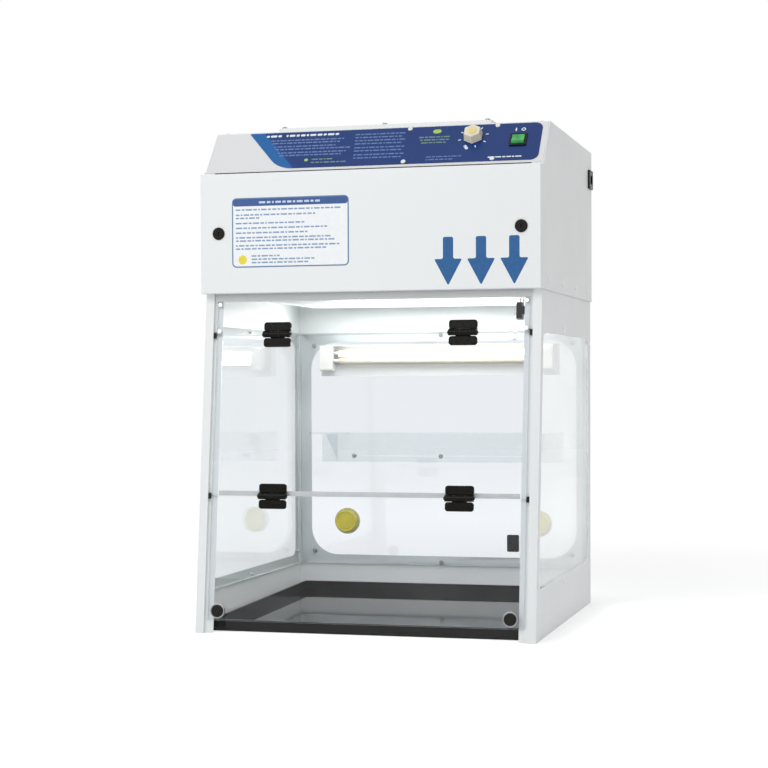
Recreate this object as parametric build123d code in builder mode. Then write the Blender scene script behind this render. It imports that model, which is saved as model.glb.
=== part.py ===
from build123d import *
import math
import os

# A bench-top laminar flow cabinet. Millimetres, X to the right, Y to the back, Z up.
# The origin is on the bench, in the middle of the footprint.

# Overall sizes
BODY_WIDTH = 605.0
BODY_DEPTH = 606.0
HEAD_WIDTH = 610.0
HEAD_BOTTOM = 596.0
HEAD_TOP = 889.0
FRONT_LEAN = 68.0
SHEET = 1.5
SEAT = 0.3
RUNNING = 0.05

# Side walls and their folded edges
HEAD_LAP = 32.0
FLANGE_WIDTH = 15.0
LEDGE_WIDTH = 15.5
LEDGE_DEPTH = 7.0
REAR_FLANGE = 20.0
FOOT_WIDTH = 12.0
RAIL_HEIGHT = 10.5
RAIL_DEPTH = 35.0

# Windows and their glazing
WINDOW_LOW = 86.0
WINDOW_HIGH = 522.0
SIDE_WINDOW_FRONT = 22.0
SIDE_WINDOW_REAR = 32.0
SIDE_WINDOW_RADIUS = 20.0
BACK_WINDOW_SIDE = 27.5
BACK_WINDOW_RADIUS = 55.0
GLAZING = 4.0
GLAZING_LAP = 18.0
RIVET_OUT = 8.0
RIVET_RADIUS = 2.0
RIVET_HEAD = 4.4
RIVET_DOME = 1.8
RIVET_TAIL = 3.2
HEAD_RIVET_RISE = 18.0
HEAD_RIVET_PITCH = 142.0

# Sash
HEADER_LOW = 584.0
HEADER_RETURN = 9.0
UPPER_JOINT = 523.0
LOWER_JOINT = 240.0
SASH_LOW = 22.0
PANE = 5.0
PANE_WIDTH = 563.0
PANE_GAP = 1.5
STRIP_RIVET_RISE = 7.0
SEAL_HEIGHT = 9.0
SEAL_THICKNESS = 1.0
BUMPER_HEIGHT = 10.0
HINGE_SPREAD = 334.0
HINGE_WIDTH = 50.0
HINGE_LEAF = 22.0
LEAF_THICKNESS = 5.0
BARREL_RADIUS = 5.5
PIN_RADIUS = 2.5
PIN_OVERHANG = 2.0
KNUCKLE = 26.0
KNUCKLE_GAP = 0.3
KNOB_SPREAD = 520.0
KNOB_HEIGHT = 39.5
KNOB_RADIUS = 11.0
KNOB_LENGTH = 13.0
KNOB_STEM = 3.0

# Spill tray
TRAY_WIDTH = 576.0
TRAY_FRONT_GAP = 40.0
TRAY_REAR_GAP = 10.0
TRAY_RIM = 20.0
TRAY_WALL = 4.0
TRAY_FLOOR = 3.0
TRAY_RADIUS = 8.0

# Head case, door and locks
HEAD_BACK_LAP = 2.0
HEAD_FRONT = 66.0
HEAD_FLANGE = 20.0
TOP_FLANGE = 25.0
PANEL_FOOT = 73.0
PANEL_HEAD = 137.0
PANEL_LOW = 812.0
PANEL_BEND = 20.0
DOOR_FRONT = 46.0
DOOR_TOP = 806.5
DOOR_EDGE = 2.0
LOCK_SPREAD = 542.0
LOCK_HEIGHT = 701.5
LOCK_RADIUS = 11.0
LOCK_RIM = 2.5
LOCK_BARREL = 9.0
LOCK_PLUG = 6.0
LOCK_NUT = 13.0
LOCK_NUT_THICKNESS = 4.0
KEY_SLOT = 7.0
CAM_LENGTH = 25.0
CAM_WIDTH = 12.0
CAM_THICKNESS = 3.0

# Control panel fittings, measured up the slope from its foot
OVERLAY_THICKNESS = 0.8
OVERLAY_LEFT = -242.0
OVERLAY_RIGHT = 294.0
OVERLAY_LOW = 5.0
OVERLAY_HIGH = 97.0
OVERLAY_SLANT = 72.0
OVERLAY_CURVE = 50.0
OVERLAY_CORNER = 14.0
OVERLAY_SCREWS = [(57.0, 10.5), (214.0, 10.5), (57.0, 93.0), (214.0, 93.0)]
KNOB_X = 174.0
KNOB_UP = 66.0
DIAL_RADIUS = 18.0
DIAL_HEIGHT = 15.0
DIAL_TAPER = 8.0
DIAL_LIFT = 1.0
SPINDLE_RADIUS = 3.0
SPINDLE_LENGTH = 26.0
SPEED_BOX = 40.0
SPEED_BOX_DEPTH = 25.0
SWITCH_X = 254.5
SWITCH_UP = 54.5
SWITCH_WIDTH = 30.0
SWITCH_RIM = 2.5
SWITCH_BODY = 27.0
SWITCH_DEPTH = 20.0
ROCKER_POCKET = 22.0
ROCKER_RADIUS = 10.6
ROCKER_TILT = 9.0
ROCKER_PIN = 1.5
ROCKER_SUNK = 3.0

# Back wall fittings
PORT_SPREAD = 398.0
PORT_HEIGHT = 155.0
PORT_RADIUS = 22.0
PORT_FLANGE = 26.5
PORT_RIM = 3.0
PORT_DEPTH = 10.0
OUTLET_X = 148.0
OUTLET_HEIGHT = 115.5
OUTLET_WIDTH = 24.0
OUTLET_TALL = 34.0
OUTLET_RIM = 4.0
OUTLET_INSET = 3.0
SHELF_HEIGHT = 339.0
SHELF_WIDTH = 500.0
SHELF_DEPTH = 88.0
SHELF_THICKNESS = 3.0
SHELF_DROP = 62.0
SHELF_GUSSETS = 430.0
SHELF_NOTCH = 16.0
SHELF_NOTCH_DEPTH = 14.0
SHELF_NOTCH_PITCH = 120.0
SHELF_SCREW_PITCH = 182.0
SHELF_SCREW_HEIGHT = 289.0
LAMP_LOW = 452.0
LAMP_HIGH = 514.0
LAMP_LENGTH = 486.0
LAMP_DEPTH = 28.0
LAMP_LIP = 24.0
TUBE_RADIUS = 6.35
TUBE_OUT = 14.0
TUBE_HEIGHTS = {"uv_tube": 481.5, "white_tube": 497.0}
HOLDER_WIDTH = 26.0
HOLDER_END = 5.0
HOLDER_DEPTH = 28.0

# Safety switch behind the fixed strip
SAFETY_X = 262.0
SAFETY_LOW = 547.0
SAFETY_TALL = 28.0
SAFETY_WIDTH = 10.0
SAFETY_DEPTH = 16.0
SAFETY_LUG = 20.0
LEVER_PIN = 1.2
LEVER_EYE = 4.0
LEVER_WIDTH = 4.2
LEVER_DROP = 40.0
LEVER_PAD = 2.5
LEVER_RISE = 6.0
WIRE_RADIUS = 0.9
WIRE_OUT = 10.0
WIRE_SPREAD = 4.0
WIRE_BEND = 6.0

# Filter and air guide
DIFFUSER_LOW = 590.0
DIFFUSER_WIDTH = 510.0
DIFFUSER_FRONT = -205.0
DIFFUSER_REAR = 268.0
SLOT_LENGTH = 44.0
SLOT_WIDTH = 6.0
SLOT_COLUMNS = 8
SLOT_ROWS = 11
SLOT_PITCH_X = 60.0
SLOT_PITCH_Y = 40.0
FILTER_WIDTH = 560.0
FILTER_FRONT = -220.0
FILTER_REAR = 268.0
FILTER_HEIGHT = 68.0
FILTER_WALL = 12.0
GASKET_HEIGHT = 5.0
GASKET_WIDTH = 14.0
PLEATS = 40
PLEAT_THICKNESS = 1.2
PLEAT_MARGIN = 8.0
CLAMP_WIDTH = 24.0
CLAMP_THICKNESS = 2.0
CLAMP_LAP = 16.0
CLAMP_PITCH = 300.0

# Fan
FAN_Y = 10.0
DECK_HEIGHT = 800.0
DECK_EDGE = 15.0
DECK_LIP = 12.0
INLET_RADIUS = 58.0
INLET_DROP = 24.0
IMPELLER_RADIUS = 95.0
IMPELLER_LOW = 748.0
IMPELLER_HIGH = 782.0
IMPELLER_EYE = 62.0
IMPELLER_SHEET = 2.0
BLADES = 9
BLADE_ANGLE = 40.0
HUB_RADIUS = 14.0
HUB_HEIGHT = 17.0
SHAFT_RADIUS = 4.0
MOTOR_RADIUS = 46.0
MOTOR_HEIGHT = 37.0
MOTOR_LOW = 708.0
MOTOR_FLOOR = 4.0
BRACKET_RADIUS = 115.0
BRACKET_ARM = 26.0
BRACKET_SHEET = 3.0
BRACKET_FOOT = 22.0
BALLAST_SIZE = (160.0, 40.0, 28.0)
BALLAST_X = -140.0
BALLAST_Y = -165.0

# Prefilter on the top cover, and the power inlet
PREFILTER_WIDTH = 394.0
PREFILTER_LENGTH = 300.0
PREFILTER_HEIGHT = 10.0
PREFILTER_BORDER = 15.0
PREFILTER_BAR = 4.0
TOP_OPENING_BORDER = 30.0
SCREW_HEAD = 5.0
SCREW_DOME = 3.5
PREFILTER_SCREW_PITCH = 188.0
TOP_SCREW_SPREAD = 578.0
TOP_SCREW_ROWS = [-156.0, 70.0, 285.0]
PAD_GAP = 0.3
PAD_HEIGHT = 7.0
INLET_Y = 279.0
INLET_Z = 834.0
INLET_PLATE = (42.0, 36.0)
INLET_BODY = (28.0, 22.0)
INLET_CUP = (24.0, 17.0)
INLET_PROUD = 4.0
INLET_DEPTH = 24.0
INLET_FLOOR = 2.5
INLET_PIN = (2.0, 4.0)
INLET_PIN_LENGTH = 13.0
INLET_PIN_SPREAD = 7.0
INLET_PIN_RISE = 2.0

# Values worked out from the sizes above
HALF = BODY_WIDTH / 2
INNER = HALF - SHEET
STEP_X = HALF - FLANGE_WIDTH
LEDGE_X = STEP_X - LEDGE_WIDTH
FRONT = -BODY_DEPTH / 2
REAR = BODY_DEPTH / 2
BODY_TOP = HEAD_BOTTOM + HEAD_LAP
LEAN = math.atan2(FRONT_LEAN, HEAD_BOTTOM)
OUTWARD = (0, -math.cos(LEAN), math.sin(LEAN))
UP_FRONT = (0, math.sin(LEAN), math.cos(LEAN))
HEAD_HALF = HEAD_WIDTH / 2
HEAD_INNER = HEAD_HALF - SHEET
HEAD_REAR = REAR + HEAD_BACK_LAP
HEAD_Y = FRONT + HEAD_FRONT
HEAD_UNDER = HEAD_TOP - SHEET
DOOR_Y = FRONT + DOOR_FRONT
BACK_FRONT = REAR - 2 * SHEET
GLASS_FRONT = BACK_FRONT - GLAZING
GLASS_LOW = WINDOW_LOW - GLAZING_LAP
GLASS_HIGH = WINDOW_HIGH + GLAZING_LAP
PANE_FACE = LEDGE_DEPTH - SEAT - PANE
AXIS_OUT = BARREL_RADIUS + SEAT - PANE_FACE
LAMP_FRONT = GLASS_FRONT - LAMP_DEPTH
SLOPE = math.atan2(HEAD_TOP - PANEL_LOW, PANEL_HEAD - PANEL_FOOT)
SLOPE_OUT = (0, -math.sin(SLOPE), math.cos(SLOPE))
PANEL_TOP_Y = FRONT + PANEL_HEAD - SHEET / math.tan(SLOPE)
FILTER_LOW = BODY_TOP + SHEET + GASKET_HEIGHT
FILTER_TOP = FILTER_LOW + FILTER_HEIGHT
FILTER_Y = (FILTER_FRONT + FILTER_REAR) / 2
CAM_Y = HEAD_Y + SHEET + SEAT


def front_at(z):
    """Y of the leaning front edge at a height."""
    return FRONT + z * math.tan(LEAN)


def along(z):
    """Distance up the leaning front at a height."""
    return z / math.cos(LEAN)


def front_plane(depth=0.0):
    """Plane on the leaning front, X across and Y up it, a depth behind the flanges."""
    return Plane(origin=(0, FRONT, 0), x_dir=(1, 0, 0), z_dir=OUTWARD).offset(-depth)


def fold_plane():
    """Plane across the leaning front, X across and Y inwards, so that a fold's section goes on it."""
    return Plane(origin=(0, FRONT, 0), x_dir=(1, 0, 0), z_dir=UP_FRONT)


def edge_plane(x):
    """Plane square to X, its own X up the leaning front and its own Y outwards."""
    return Plane(origin=(x, FRONT, 0), x_dir=UP_FRONT, z_dir=(1, 0, 0))


def slope_plane(height=0.0):
    """Plane on the control panel, Y up the slope from its foot, a height above the sheet."""
    foot = (0, FRONT + PANEL_FOOT, PANEL_LOW)
    return Plane(origin=foot, x_dir=(1, 0, 0), z_dir=SLOPE_OUT).offset(height)


def block(x, y, z, mode=Mode.ADD):
    """A box between its low and high ends along each axis."""
    with Locations(tuple(sum(ends) / 2 for ends in (x, y, z))):
        Box(x[1] - x[0], y[1] - y[0], z[1] - z[0], mode=mode)


def on_plane(plane, places):
    """Locations at two-number places on a plane."""
    return [plane.location * Location((x, y, 0)) for x, y in places]


def side_outline(margin, low, high, rear):
    """The side profile in Y and Z: a leaning front edge set back by a margin, square elsewhere."""
    back = margin / math.cos(LEAN)
    return [(front_at(low) + back, low), (rear, low), (rear, high), (front_at(high) + back, high)]


def side_window_rivets():
    """Rivet places round a side window, as Y and Z."""
    rear = REAR - SIDE_WINDOW_REAR
    middle = (front_at(WINDOW_LOW) + rear) / 2
    places = [(middle, WINDOW_LOW - 1.5 * RIVET_OUT), (middle, WINDOW_HIGH + 1.5 * RIVET_OUT)]
    for z in (WINDOW_LOW + RIVET_OUT, WINDOW_HIGH - RIVET_OUT):
        front = front_at(z) + SIDE_WINDOW_FRONT / math.cos(LEAN)
        places += [(rear + RIVET_OUT, z), (front - RIVET_OUT, z)]
    return places


def back_window_screws():
    """Screw places round the back window, as X and Z."""
    reach = BACK_WINDOW_RADIUS - (BACK_WINDOW_RADIUS + 1.5 * RIVET_OUT) * math.sqrt(0.5)
    corner = HALF - BACK_WINDOW_SIDE - reach
    places = [(0, WINDOW_LOW - 1.5 * RIVET_OUT), (0, WINDOW_HIGH + 1.5 * RIVET_OUT)]
    for x in (-corner, corner):
        places += [(x, WINDOW_LOW + reach), (x, WINDOW_HIGH - reach)]
    return places


def shelf_screws():
    """Screw places along the shelf's back flange, as X and Z."""
    return [(column * SHELF_SCREW_PITCH, SHELF_SCREW_HEIGHT) for column in (-1, 0, 1)]


def head_rivets():
    """Rivet places along the foot of the head, as Y and Z."""
    middle = HEAD_Y + (HEAD_REAR - HEAD_Y) / 2
    rows = [middle + (step - 1.5) * HEAD_RIVET_PITCH for step in range(4)]
    return [(y, HEAD_BOTTOM + HEAD_RIVET_RISE) for y in rows]


def strip_rivets():
    """Rivet places on the fixed strip, as X and distance up the front."""
    x = (STEP_X + LEDGE_X) / 2 - RIVET_TAIL
    heights = (along(UPPER_JOINT) + STRIP_RIVET_RISE, along(HEADER_LOW) - STRIP_RIVET_RISE)
    return [(side * x, up) for side in (-1, 1) for up in heights]


def prefilter_screws():
    """Screw places on the prefilter's border, as X and Y."""
    reach = (PREFILTER_LENGTH - PREFILTER_BORDER) / 2
    return [(column * PREFILTER_SCREW_PITCH, FAN_Y + side * reach) for column in (-1, 0, 1) for side in (-1, 1)]


def top_screws():
    """Screw places on the top cover, as X and Y."""
    return [(side * TOP_SCREW_SPREAD / 2, y) for side in (-1, 1) for y in TOP_SCREW_ROWS]


def rivet(grip, head=RIVET_HEAD, dome=RIVET_DOME, tail=RIVET_TAIL):
    """A domed fastener, its head on the plane Z = 0 and its clenched tail a grip below."""
    above = (Align.CENTER, Align.CENTER, Align.MIN)
    below = (Align.CENTER, Align.CENTER, Align.MAX)
    with BuildPart() as fastener:
        Cylinder(head, dome, align=above)
        fillet(fastener.faces().sort_by(Axis.Z)[-1].edges(), dome - SEAT)
        Cylinder(RIVET_RADIUS, grip + SHEET, align=below)
        with Locations((0, 0, -grip)):
            Cylinder(tail, SHEET, align=below)
    return fastener.part


def fasteners(name, part, places):
    """One node of like fasteners, one at each place."""
    with BuildPart() as group:
        with Locations(*places):
            add(part)
    save(group, name)


def save(piece, name):
    """Labels a finished piece and writes its file."""
    piece.part.label = name
    export_step(piece.part, f"parts/{name}.step")


def side_panels():
    """The side walls, each one sheet folded round its edges."""
    front_fold = [
        (HALF, 0),
        (STEP_X, 0),
        (STEP_X, LEDGE_DEPTH),
        (LEDGE_X, LEDGE_DEPTH),
        (LEDGE_X, LEDGE_DEPTH + SHEET),
        (STEP_X + SHEET, LEDGE_DEPTH + SHEET),
        (STEP_X + SHEET, SHEET),
        (HALF, SHEET),
    ]
    with BuildPart() as right:
        with BuildSketch(Plane.YZ.offset(INNER)):
            with BuildLine():
                Polyline(*side_outline(0, 0, BODY_TOP, REAR), close=True)
            make_face()
        extrude(amount=SHEET)
        with BuildSketch(fold_plane()):
            with BuildLine():
                Polyline(*front_fold, close=True)
            make_face()
        extrude(amount=along(BODY_TOP) + LEDGE_DEPTH)
        split(bisect_by=Plane.XY, keep=Keep.TOP)
        split(bisect_by=Plane.XY.offset(BODY_TOP), keep=Keep.BOTTOM)
        front = FRONT + 2 * LEDGE_DEPTH
        block((HALF - REAR_FLANGE, INNER), (REAR - SHEET, REAR), (0, BODY_TOP))
        block((HALF - FOOT_WIDTH, INNER), (front, BACK_FRONT), (0, SHEET))
        top_front = front_at(BODY_TOP) + LEDGE_DEPTH
        block((STEP_X, INNER), (top_front, BACK_FRONT), (BODY_TOP - SHEET, BODY_TOP))
        rear = REAR - SIDE_WINDOW_REAR
        with BuildSketch(Plane.YZ.offset(INNER)) as window:
            with BuildLine():
                Polyline(*side_outline(SIDE_WINDOW_FRONT, WINDOW_LOW, WINDOW_HIGH, rear), close=True)
            make_face()
            fillet(window.vertices(), SIDE_WINDOW_RADIUS)
        extrude(amount=SHEET, mode=Mode.SUBTRACT)
        with Locations(*on_plane(Plane.YZ.offset(HALF), side_window_rivets() + head_rivets())):
            Cylinder(RIVET_RADIUS + RUNNING, 4 * SHEET, mode=Mode.SUBTRACT)
        with Locations(*on_plane(front_plane(LEDGE_DEPTH), strip_rivets()[2:])):
            Cylinder(RIVET_RADIUS + RUNNING, 4 * SHEET, mode=Mode.SUBTRACT)
    with BuildPart() as left:
        mirror(right.part, about=Plane.YZ)
    save(right, "right_side_panel")
    save(left, "left_side_panel")


def back_panel():
    """The back wall, a flat sheet between the rear flanges, with its window."""
    half = INNER - SEAT
    window_width = BODY_WIDTH - 2 * BACK_WINDOW_SIDE
    with BuildPart() as panel:
        block((-half, half), (BACK_FRONT, BACK_FRONT + SHEET), (0, BODY_TOP))
        with BuildSketch(Plane.XZ.offset(-BACK_FRONT)) as window:
            with Locations((0, (WINDOW_LOW + WINDOW_HIGH) / 2)):
                RectangleRounded(window_width, WINDOW_HIGH - WINDOW_LOW, BACK_WINDOW_RADIUS)
        extrude(amount=-SHEET, mode=Mode.SUBTRACT)
        with Locations(*on_plane(Plane.XZ.offset(-BACK_FRONT), back_window_screws())):
            Cylinder(RIVET_RADIUS + RUNNING, 4 * SHEET, mode=Mode.SUBTRACT)
    save(panel, "back_panel")


def rear_rail():
    """The low channel across the back, which the tray's rear end rests on."""
    half = HALF - FOOT_WIDTH - SEAT
    with BuildPart() as rail:
        block((-half, half), (BACK_FRONT - RAIL_DEPTH, BACK_FRONT), (0, RAIL_HEIGHT))
        under = (BACK_FRONT - RAIL_DEPTH + SHEET, BACK_FRONT - SHEET)
        block((-half, half), under, (0, RAIL_HEIGHT - SHEET), Mode.SUBTRACT)
    save(rail, "rear_rail")


def spill_tray():
    """The black tray on the floor, tilted so that spills run to the front."""
    front = FRONT + TRAY_FRONT_GAP
    length = REAR - TRAY_REAR_GAP - front
    tilt = math.asin((RAIL_HEIGHT + SEAT) / (BACK_FRONT - RAIL_DEPTH - front))
    base = Plane(origin=(0, front, 0), x_dir=(1, 0, 0), z_dir=(0, -math.sin(tilt), math.cos(tilt)))
    with BuildPart() as tray:
        with BuildSketch(base):
            with Locations((0, length / 2)):
                RectangleRounded(TRAY_WIDTH, length, TRAY_RADIUS)
        extrude(amount=TRAY_RIM)
        with BuildSketch(base.offset(TRAY_FLOOR)):
            with Locations((0, length / 2)):
                hollow = (TRAY_WIDTH - 2 * TRAY_WALL, length - 2 * TRAY_WALL)
                RectangleRounded(*hollow, TRAY_RADIUS - TRAY_WALL)
        extrude(amount=TRAY_RIM, mode=Mode.SUBTRACT)
    save(tray, "spill_tray")


def side_glazing():
    """The clear panes riveted inside the side windows."""
    rear = REAR - SIDE_WINDOW_REAR + GLAZING_LAP
    margin = SIDE_WINDOW_FRONT - GLAZING_LAP
    with BuildPart() as right:
        with BuildSketch(Plane.YZ.offset(INNER - GLAZING)):
            with BuildLine():
                Polyline(*side_outline(margin, GLASS_LOW, GLASS_HIGH, rear), close=True)
            make_face()
        extrude(amount=GLAZING)
        with Locations(*on_plane(Plane.YZ.offset(INNER), side_window_rivets())):
            Cylinder(RIVET_RADIUS + RUNNING, 4 * GLAZING, mode=Mode.SUBTRACT)
    with BuildPart() as left:
        mirror(right.part, about=Plane.YZ)
    save(right, "right_glazing")
    save(left, "left_glazing")


def back_glazing():
    """The clear back pane, which carries the shelf, the lamp, the ports and the outlet."""
    half = INNER - GLAZING - SEAT
    face = Plane.XZ.offset(-GLASS_FRONT)
    with BuildPart() as glazing:
        block((-half, half), (GLASS_FRONT, BACK_FRONT), (GLASS_LOW, GLASS_HIGH))
        with Locations(*on_plane(face, back_window_screws() + shelf_screws())):
            Cylinder(RIVET_RADIUS + RUNNING, 4 * GLAZING, mode=Mode.SUBTRACT)
        with Locations(*on_plane(face, port_places())):
            Cylinder(PORT_RADIUS, 4 * GLAZING, mode=Mode.SUBTRACT)
        with BuildSketch(face):
            with Locations((OUTLET_X, OUTLET_HEIGHT)):
                inset = 2 * (OUTLET_INSET - SEAT)
                Rectangle(OUTLET_WIDTH - inset, OUTLET_TALL - inset)
        extrude(amount=-GLAZING, mode=Mode.SUBTRACT)
    save(glazing, "back_glazing")


def port_places():
    """The two port centres, as X and Z."""
    return [(-PORT_SPREAD / 2, PORT_HEIGHT), (PORT_SPREAD / 2, PORT_HEIGHT)]


def port_plugs():
    """The bungs in the two ports, pulled out to the rear."""
    for name, place in zip(("left_port_plug", "right_port_plug"), port_places()):
        with BuildPart() as plug:
            with BuildSketch(Plane.XZ.offset(-BACK_FRONT - SEAT)):
                with Locations(place):
                    Circle(PORT_FLANGE)
            extrude(amount=-PORT_RIM)
            fillet(plug.faces().sort_by(Axis.Y)[-1].edges(), PORT_RIM / 3)
            with BuildSketch(Plane.XZ.offset(-BACK_FRONT - SEAT)):
                with Locations(place):
                    Circle(PORT_RADIUS - SEAT)
            extrude(amount=PORT_DEPTH)
            fillet(plug.faces().sort_by(Axis.Y)[0].edges(), PORT_RIM / 3)
        save(plug, name)


def outlet_socket():
    """The black socket outlet set in the back glazing."""
    slot_spread = OUTLET_WIDTH / 4
    with BuildPart() as outlet:
        with BuildSketch(Plane.XZ.offset(-GLASS_FRONT)):
            with Locations((OUTLET_X, OUTLET_HEIGHT)):
                RectangleRounded(OUTLET_WIDTH, OUTLET_TALL, OUTLET_INSET)
        extrude(amount=OUTLET_RIM)
        with BuildSketch(Plane.XZ.offset(-GLASS_FRONT)):
            with Locations((OUTLET_X, OUTLET_HEIGHT)):
                Rectangle(OUTLET_WIDTH - 2 * OUTLET_INSET, OUTLET_TALL - 2 * OUTLET_INSET)
        extrude(amount=-GLAZING - OUTLET_INSET)
        with BuildSketch(Plane.XZ.offset(OUTLET_RIM - GLASS_FRONT)):
            with Locations((OUTLET_X - slot_spread, OUTLET_HEIGHT), (OUTLET_X + slot_spread, OUTLET_HEIGHT)):
                Rectangle(OUTLET_INSET - 1, OUTLET_TALL / 4)
        extrude(amount=-2 * OUTLET_RIM, mode=Mode.SUBTRACT)
    save(outlet, "outlet_socket")


def equipment_shelf():
    """The clear shelf on the back wall: a notched plate, a back flange and two gussets."""
    front = GLASS_FRONT - SHELF_DEPTH
    half = SHELF_WIDTH / 2
    under = SHELF_HEIGHT - SHELF_THICKNESS
    with BuildPart() as shelf:
        block((-half, half), (front, GLASS_FRONT), (under, SHELF_HEIGHT))
        flange = (GLASS_FRONT - SHELF_THICKNESS, GLASS_FRONT)
        block((-half, half), flange, (SHELF_HEIGHT - SHELF_DROP, under))
        for side in (-1, 1):
            with BuildSketch(Plane.YZ.offset(side * SHELF_GUSSETS / 2 - SHELF_THICKNESS / 2)):
                with BuildLine():
                    foot = (GLASS_FRONT - SHELF_THICKNESS, SHELF_HEIGHT - SHELF_DROP)
                    Polyline((front, under), (GLASS_FRONT - SHELF_THICKNESS, under), foot, close=True)
                make_face()
            extrude(amount=SHELF_THICKNESS)
        for column in range(4):
            x = (column - 1.5) * SHELF_NOTCH_PITCH
            notch = (x - SHELF_NOTCH / 2, x + SHELF_NOTCH / 2)
            block(notch, (front, front + SHELF_NOTCH_DEPTH), (under, SHELF_HEIGHT), Mode.SUBTRACT)
        with Locations(*on_plane(Plane.XZ.offset(-GLASS_FRONT), shelf_screws())):
            Cylinder(RIVET_RADIUS + RUNNING, 4 * SHELF_THICKNESS, mode=Mode.SUBTRACT)
    save(shelf, "equipment_shelf")


def lamp():
    """The lamp fitting on the back wall: a channel, two end holders and two tubes."""
    half = LAMP_LENGTH / 2
    with BuildPart() as housing:
        block((-half, half), (LAMP_FRONT, GLASS_FRONT), (LAMP_LOW, LAMP_HIGH))
        inside = (LAMP_FRONT + SHEET, GLASS_FRONT)
        block((SHEET - half, half - SHEET), inside, (LAMP_LOW + SHEET, LAMP_HIGH - SHEET), Mode.SUBTRACT)
        block((-half, half), (LAMP_FRONT - LAMP_LIP, LAMP_FRONT), (LAMP_HIGH - SHEET, LAMP_HIGH))
    save(housing, "lamp_housing")
    outer = half - HOLDER_END
    low = LAMP_LOW + 2 * HOLDER_END
    with BuildPart() as holders:
        for ends in ((outer - HOLDER_WIDTH, outer), (-outer, HOLDER_WIDTH - outer)):
            block(ends, (LAMP_FRONT - HOLDER_DEPTH, LAMP_FRONT), (low, LAMP_HIGH - SHEET - SEAT))
        fillet(holders.edges().filter_by(Axis.X).group_by(Axis.Y)[0], HOLDER_END)
    save(holders, "lamp_holders")
    reach = outer - HOLDER_WIDTH - SEAT
    for name, z in TUBE_HEIGHTS.items():
        with BuildPart() as tube:
            with BuildSketch(Plane.YZ.offset(-reach)):
                with Locations((LAMP_FRONT - TUBE_OUT, z)):
                    Circle(TUBE_RADIUS)
            extrude(amount=2 * reach)
        save(tube, name)


def header_rail():
    """The white rail above the sash, a channel lying on the ledges."""
    low, high = along(HEADER_LOW), along(BODY_TOP) - STRIP_RIVET_RISE
    web = (-LEDGE_DEPTH, SHEET - LEDGE_DEPTH)
    half = STEP_X - SEAT
    returns = LEDGE_X - SEAT
    with BuildPart() as rail:
        with BuildSketch(edge_plane(-half)):
            with Locations(((low + high) / 2, sum(web) / 2)):
                Rectangle(high - low, SHEET)
        extrude(amount=2 * half)
        with BuildSketch(edge_plane(-returns)):
            with Locations((low + SHEET / 2, web[0] - HEADER_RETURN / 2)):
                Rectangle(SHEET, HEADER_RETURN)
            with Locations((high - SHEET / 2, web[0] - HEADER_RETURN / 2)):
                Rectangle(SHEET, HEADER_RETURN)
        extrude(amount=2 * returns)
    save(rail, "header_rail")


def pane_sketch(low, high):
    """A pane's height limits up the front, less half a joint gap at each end."""
    return along(low) + PANE_GAP / 2, along(high) - PANE_GAP / 2


def panes():
    """The fixed strip and the two folding panes."""
    limits = {
        "sash_top_strip": (UPPER_JOINT, HEADER_LOW),
        "sash_middle_pane": (LOWER_JOINT, UPPER_JOINT),
        "sash_lower_pane": (SASH_LOW, LOWER_JOINT),
    }
    for name, (bottom, top) in limits.items():
        low, high = pane_sketch(bottom, top)
        with BuildPart() as pane:
            with BuildSketch(front_plane(PANE_FACE + PANE)):
                with Locations((0, (low + high) / 2)):
                    Rectangle(PANE_WIDTH, high - low)
            extrude(amount=PANE)
            if name == "sash_top_strip":
                with Locations(*on_plane(front_plane(PANE_FACE), strip_rivets())):
                    Cylinder(RIVET_RADIUS + RUNNING, 4 * PANE, mode=Mode.SUBTRACT)
            if name == "sash_lower_pane":
                with Locations(*on_plane(front_plane(PANE_FACE), sash_knob_places())):
                    Cylinder(KNOB_STEM + RUNNING, 4 * PANE, mode=Mode.SUBTRACT)
        save(pane, name)
    low = pane_sketch(LOWER_JOINT, UPPER_JOINT)[0]
    with BuildPart() as seal:
        with BuildSketch(front_plane(LEDGE_DEPTH - SEAT + SEAL_THICKNESS)):
            with Locations((0, low + SEAL_HEIGHT / 2)):
                Rectangle(2 * LEDGE_X - 4 * SEAL_THICKNESS, SEAL_HEIGHT)
        extrude(amount=SEAL_THICKNESS)
    save(seal, "sash_joint_seal")
    half_gap = SEAT / 2
    with BuildPart() as bumpers:
        for joint in (UPPER_JOINT, LOWER_JOINT):
            for side in (-1, 1):
                with BuildSketch(front_plane(LEDGE_DEPTH)):
                    width = STEP_X - PANE_WIDTH / 2 - 2 * SEAT
                    with Locations((side * (STEP_X - width / 2 - half_gap), along(joint))):
                        Rectangle(width, BUMPER_HEIGHT)
                extrude(amount=PANE)
    save(bumpers, "edge_bumpers")


def sash_knob_places():
    """The pull knobs' places on the lower pane, as X and distance up the front."""
    return [(side * KNOB_SPREAD / 2, along(KNOB_HEIGHT)) for side in (-1, 1)]


def sash_knobs():
    """Two turned pulls, each with its stem through the pane and a nut behind."""
    with BuildPart() as pull:
        Cylinder(KNOB_RADIUS, KNOB_LENGTH, align=(Align.CENTER, Align.CENTER, Align.MIN))
        fillet(pull.faces().sort_by(Axis.Z)[-1].edges(), KNOB_LENGTH / 5)
        with Locations((0, 0, -PANE)):
            Cylinder(KNOB_STEM, PANE, align=(Align.CENTER, Align.CENTER, Align.MIN))
            Cylinder(2 * KNOB_STEM, KNOB_STEM / 2, align=(Align.CENTER, Align.CENTER, Align.MAX))
    fasteners("sash_knobs", pull.part, on_plane(front_plane(PANE_FACE), sash_knob_places()))


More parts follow.
